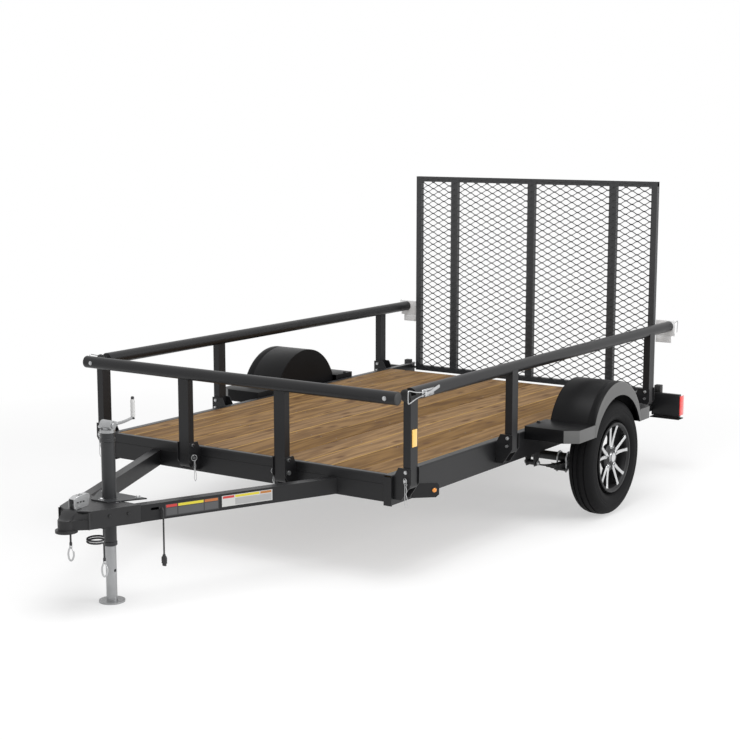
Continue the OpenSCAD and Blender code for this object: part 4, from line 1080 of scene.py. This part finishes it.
# Gate: a welded tube frame with three inner uprights, hung on two pins, with raised expanded
# steel welded over its front face. All powder-coated black.

gate_coat = surface("gate_paint", (0.026, 0.027, 0.029), 0.42, mottle=0.2, scale=6, bump=0.08,
                    soft_edge=0.002)
mesh_coat = surface("mesh_paint", (0.036, 0.037, 0.039), 0.45, mottle=0.25, scale=30, bump=0.1, soft_edge=0)
keep_part("gate_frame", gate_coat)


def expanded_mesh():
    """Expanded metal: zigzag strands, each row joined to the next where their corners meet."""
    lo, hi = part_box("gate_mesh")
    long_way, short_way = 0.0836, 0.0418          # one diamond, bond to bond
    strand, thick = 0.0062, 0.0019
    rows = int((hi[2] - lo[2]) / (short_way / 2)) + 2
    columns = int((hi[0] - lo[0]) / (long_way / 2)) + 2
    verts, faces = [], []
    for row in range(rows):
        level = lo[2] + row * short_way / 2
        first = len(verts)
        count = 0
        for column in range(columns):
            up = 1 if (row + column) % 2 == 0 else -1
            # a short flat at each bond, so two rows share a solid corner
            for nudge in (-0.006, 0.006):
                x = lo[0] + column * long_way / 2 + nudge
                if x < lo[0] or x > hi[0]:
                    continue
                z = level + up * (short_way / 4 - 0.0012)
                y = (lo[1] + hi[1]) / 2 - thick / 2
                for dy, dz in ((0, -strand / 2), (thick, -strand / 2 + 0.001), (thick, strand / 2),
                               (0, strand / 2 - 0.001)):
                    verts.append((x, y + dy, min(max(z + dz, lo[2]), hi[2])))
                count += 1
        for k in range(count - 1):
            a = first + 4 * k
            faces += [(a + j, a + (j + 1) % 4, a + 4 + (j + 1) % 4, a + 4 + j) for j in range(4)]
        faces += [(first, first + 1, first + 2, first + 3),
                  tuple(first + 4 * (count - 1) + j for j in (3, 2, 1, 0))]
    mesh = bpy.data.meshes.new("expanded_mesh")
    mesh.from_pydata(verts, [], faces)
    mesh.materials.append(mesh_coat)
    piece = bpy.data.objects.new("expanded_mesh", mesh)
    scene.collection.objects.link(piece)
    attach(piece, "gate")
    return piece


sheet = expanded_mesh()
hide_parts("gate_mesh")
gate_pins = [((half_width + 0.0085, bed_rear - 0.014, deck_top - 0.036), (1, 0, 0))]
hex_bolts("gate_hinge_nuts", mirrored(gate_pins), 0.022, zinc, "gate", washer=False)

# Lamps: red tail lamps in black steel boxes beside the gate, an amber marker on a slanting plate
# behind each front corner, and an amber reflector on the outer face of each front post.


def lens(name, colour, glow=0.0):
    """Moulded plastic lens: clear coat over a deep colour, with fine prisms in the bump."""
    material = surface(name, colour, 0.18, mottle=0.10, scale=40, grit=120, bump=0.10, soft_edge=0.001,
                       coat=0.8)
    skin = material.node_tree.nodes["Principled BSDF"]
    skin.inputs["Transmission Weight"].default_value = 0.15
    skin.inputs["Emission Color"].default_value = (*colour, 1)
    skin.inputs["Emission Strength"].default_value = glow
    add, _ = recipe(material.node_tree)
    prisms = add("TexWave", Scale=90, Vector=add("TexCoord").outputs["Object"])
    ridge = add("Bump", Strength=0.25, Distance=0.0006, Height=prisms.outputs["Fac"],
                Normal=skin.inputs["Normal"].links[0].from_socket)
    join_skin(material, skin, Normal=ridge.outputs["Normal"])
    return material


red_lens = lens("red_lens", (0.62, 0.035, 0.030), 0.25)
amber_lens = lens("amber_lens", (0.80, 0.30, 0.035), 0.15)
# the reflector is no lamp: its glow is a painted reflection of the light
reflector_painted_glow = lens("reflector", (0.78, 0.48, 0.10), 0.2)
shelf_black = surface("lamp_shelf_paint", (0.010, 0.010, 0.010), 0.80, mottle=0.2, scale=30, bump=0.1,
                      gloss=0.04)


def tail_lamp(side, name):
    """A lamp box with lenses on its back and outer end, a stop block over it and a shelf under it."""
    low, top = deck_top - 0.166, deck_top - 0.024
    y0, reach = bed_rear - 0.093, half_width + 0.184
    blocks = [("lamp_box", (half_width, y0, low), (reach, y0 + 0.028, top), black_coat, 0.002),
              ("lamp_lens", (half_width + 0.008, y0 + 0.028, low + 0.007), (reach, y0 + 0.062, top - 0.016),
               red_lens, 0.005),
              ("lamp_side_lens", (reach + 0.0002, y0 + 0.003, low + 0.010),
               (reach + 0.006, y0 + 0.058, top - 0.010), red_lens, 0.002),
              ("lamp_stop", (half_width, y0 + 0.031, deck_top - 0.033),
               (half_width + 0.042, y0 + 0.070, deck_top + 0.018), plug_black, 0.003)]
    box, lens_back, lens_side, stop = [
        box_part(f"{part}_{name}", (side * xa, *a), (side * xb, *b), finish, "trailer", rounding)
        for part, (xa, *a), (xb, *b), finish, rounding in blocks]
    # the shelf has two slots cut through it
    x0, x1, ya, yb = half_width, reach + 0.008, y0 - 0.024, y0 + 0.050
    (cut_a, cut_b), (cut_c, cut_d) = (x0 + 0.020, x0 + 0.070), (x1 - 0.052, x1 - 0.014)
    s0, s1 = ya + 0.006, ya + 0.019
    verts, faces = [], []
    for xa, xb, yc, yd in ((x0, x1, ya, s0), (x0, x1, s1, yb), (x0, cut_a, s0, s1), (cut_b, cut_c, s0, s1),
                           (cut_d, x1, s0, s1)):
        faces += skin_over(2, 4, first=len(verts))
        verts += [(side * x, y, low - drop) for x in (xa, xb)
                  for y, drop in ((yc, 0.012), (yd, 0.012), (yd, 0.007), (yc, 0.007))]
    shelf = piece_from(f"lamp_shelf_{name}", verts, faces, shelf_black, "trailer")
    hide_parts("tail_lights")


for side, name in SIDES.items():
    tail_lamp(side, name)


def marker(side, name):
    """A slanting plate behind the front corner with its lamp and rubber ring, and the reflector."""
    turn, length, thick = math.radians(43.5), 0.132, 0.004
    along = Vector((side * math.cos(turn), math.sin(turn), 0))
    out = Vector((side * math.sin(turn), -math.cos(turn), 0))
    foot = Vector((side * half_width, bed_front + 0.177, side_lo[2] + 0.004))
    corners = [(0, 0), (length - 0.016, 0), (length, 0.014), (length, 0.060), (length - 0.010, 0.072),
               (0, 0.072)]
    front = [foot + along * a + Vector((0, 0, z)) for a, z in corners]
    back = [p - out * thick for p in front]
    for k in (0, 5):                            # the two corners that meet the channel's face
        back[k] = foot + Vector((0, thick / math.cos(turn), corners[k][1]))
    bracket = piece_from(f"marker_plate_{name}", front + back, skin_over(2, len(corners)), black_coat,
                         "trailer")
    at, up, sides = foot + along * (length - 0.024) + Vector((0, 0, 0.036)), Vector((0, 0, 1)), 28
    rows = [(0.0110, 0.0002), (0.0110, 0.004), (0.0098, 0.0065), (0.0070, 0.0082), (0.0030, 0.0089),
            (0.0004, 0.009)]
    verts = [at + out * height + radius * (c * along + s * up) for radius, height in rows
             for c, s in circle(sides)]
    lamp = piece_from(f"marker_lamp_{name}", verts, skin_over(len(rows), sides), amber_lens, "trailer",
                      smooth=True)
    ring = wire(f"marker_ring_{name}", [at + out * 0.002 + 0.0125 * (c * along + s * up)
                                        for c, s in circle(sides)], 0.004, plug_black, "trailer", closed=True)
    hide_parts("marker_lights")
    # the reflector sits on the front post's outer face
    face_x, y0 = post_x + 0.0205, post_rows[0] + 0.010
    reflector = box_part(f"reflector_{name}", (side * (face_x + 0.0002), y0, deck_top + 0.141),
                         (side * (face_x + 0.004), y0 + 0.041, deck_top + 0.225), reflector_painted_glow,
                         f"rail_{name}", 0.0015)


for side, name in SIDES.items():
    marker(side, name)

# Studio: a plain pale floor that keeps the shadow, a white surround and two large soft lamps,
# one above and one low on the left of travel that lights the outer faces.

floor_mesh = bpy.data.meshes.new("floor")
floor_mesh.from_pydata([(-40, -40, 0), (40, -40, 0), (40, 40, 0), (-40, 40, 0)], [], [(0, 1, 2, 3)])
floor = bpy.data.objects.new("floor", floor_mesh)
scene.collection.objects.link(floor)


def background_seen(add, maths):
    """One for rays that should meet the white surround: camera, glossy and transmission rays."""
    ray = add("LightPath")
    seen = ray.outputs["Is Camera Ray"]
    for kind in ("Is Glossy Ray", "Is Transmission Ray"):
        seen = maths("MAXIMUM", seen, ray.outputs[kind])
    return seen


def mix_in(tree, output, lit, plain, share):
    """The output shows the plain shader by this share over the lit one."""
    blend = tree.nodes.new("ShaderNodeMixShader")
    for socket, source in zip(blend.inputs, (share, lit, plain)):
        tree.links.new(source, socket)
    tree.links.new(blend.outputs[0], tree.nodes[output].inputs["Surface"])


paper = surface("floor_paper", (0.88, 0.88, 0.88), 0.9, mottle=0.01, scale=0.5, bump=0.02, soft_edge=0,
                gloss=0.1)
add, maths = recipe(paper.node_tree)
# near the trailer half of it is the lit floor, which keeps the shadow; far off it is all white
apart = add("VectorMath", operation="LENGTH", Vector=add("TexCoord").outputs["Object"])
fade = add("MapRange", From_Min=2.6, From_Max=4.6, To_Min=0.5, To_Max=1.0, Value=apart.outputs["Value"])
mix_in(paper.node_tree, "Material Output", paper.node_tree.nodes["Principled BSDF"].outputs[0],
       add("Emission").outputs[0], maths("MULTIPLY", background_seen(add, maths), fade.outputs["Result"]))
floor_mesh.materials.append(paper)
world = bpy.data.worlds.new("studio")
world.use_nodes = True
add, maths = recipe(world.node_tree)
air = world.node_tree.nodes["Background"]
air.inputs["Color"].default_value = (1, 1, 1, 1)
air.inputs["Strength"].default_value = 0.72
mix_in(world.node_tree, "World Output", air.outputs[0], add("Background", Color=(1, 1, 1, 1)).outputs[0],
       background_seen(add, maths))
scene.world = world


def soft_lamp(name, at, aim, size, power):
    """A square area lamp aimed at a point."""
    lamp = bpy.data.lights.new(name, "AREA")
    lamp.shape = "SQUARE"
    lamp.size = size
    lamp.energy = power
    holder = bpy.data.objects.new(name, lamp)
    scene.collection.objects.link(holder)
    holder.location = at
    holder.rotation_mode = "QUATERNION"
    holder.rotation_quaternion = (Vector(aim) - Vector(at)).to_track_quat("-Z", "Y")


soft_lamp("lamp_above", (1.5, -1.5, 6.5), (0, 0, 0.4), 4.0, 260)
soft_lamp("lamp_side", (6.5, 2.0, 2.6), (0.6, 0.6, 0.5), 3.0, 170)
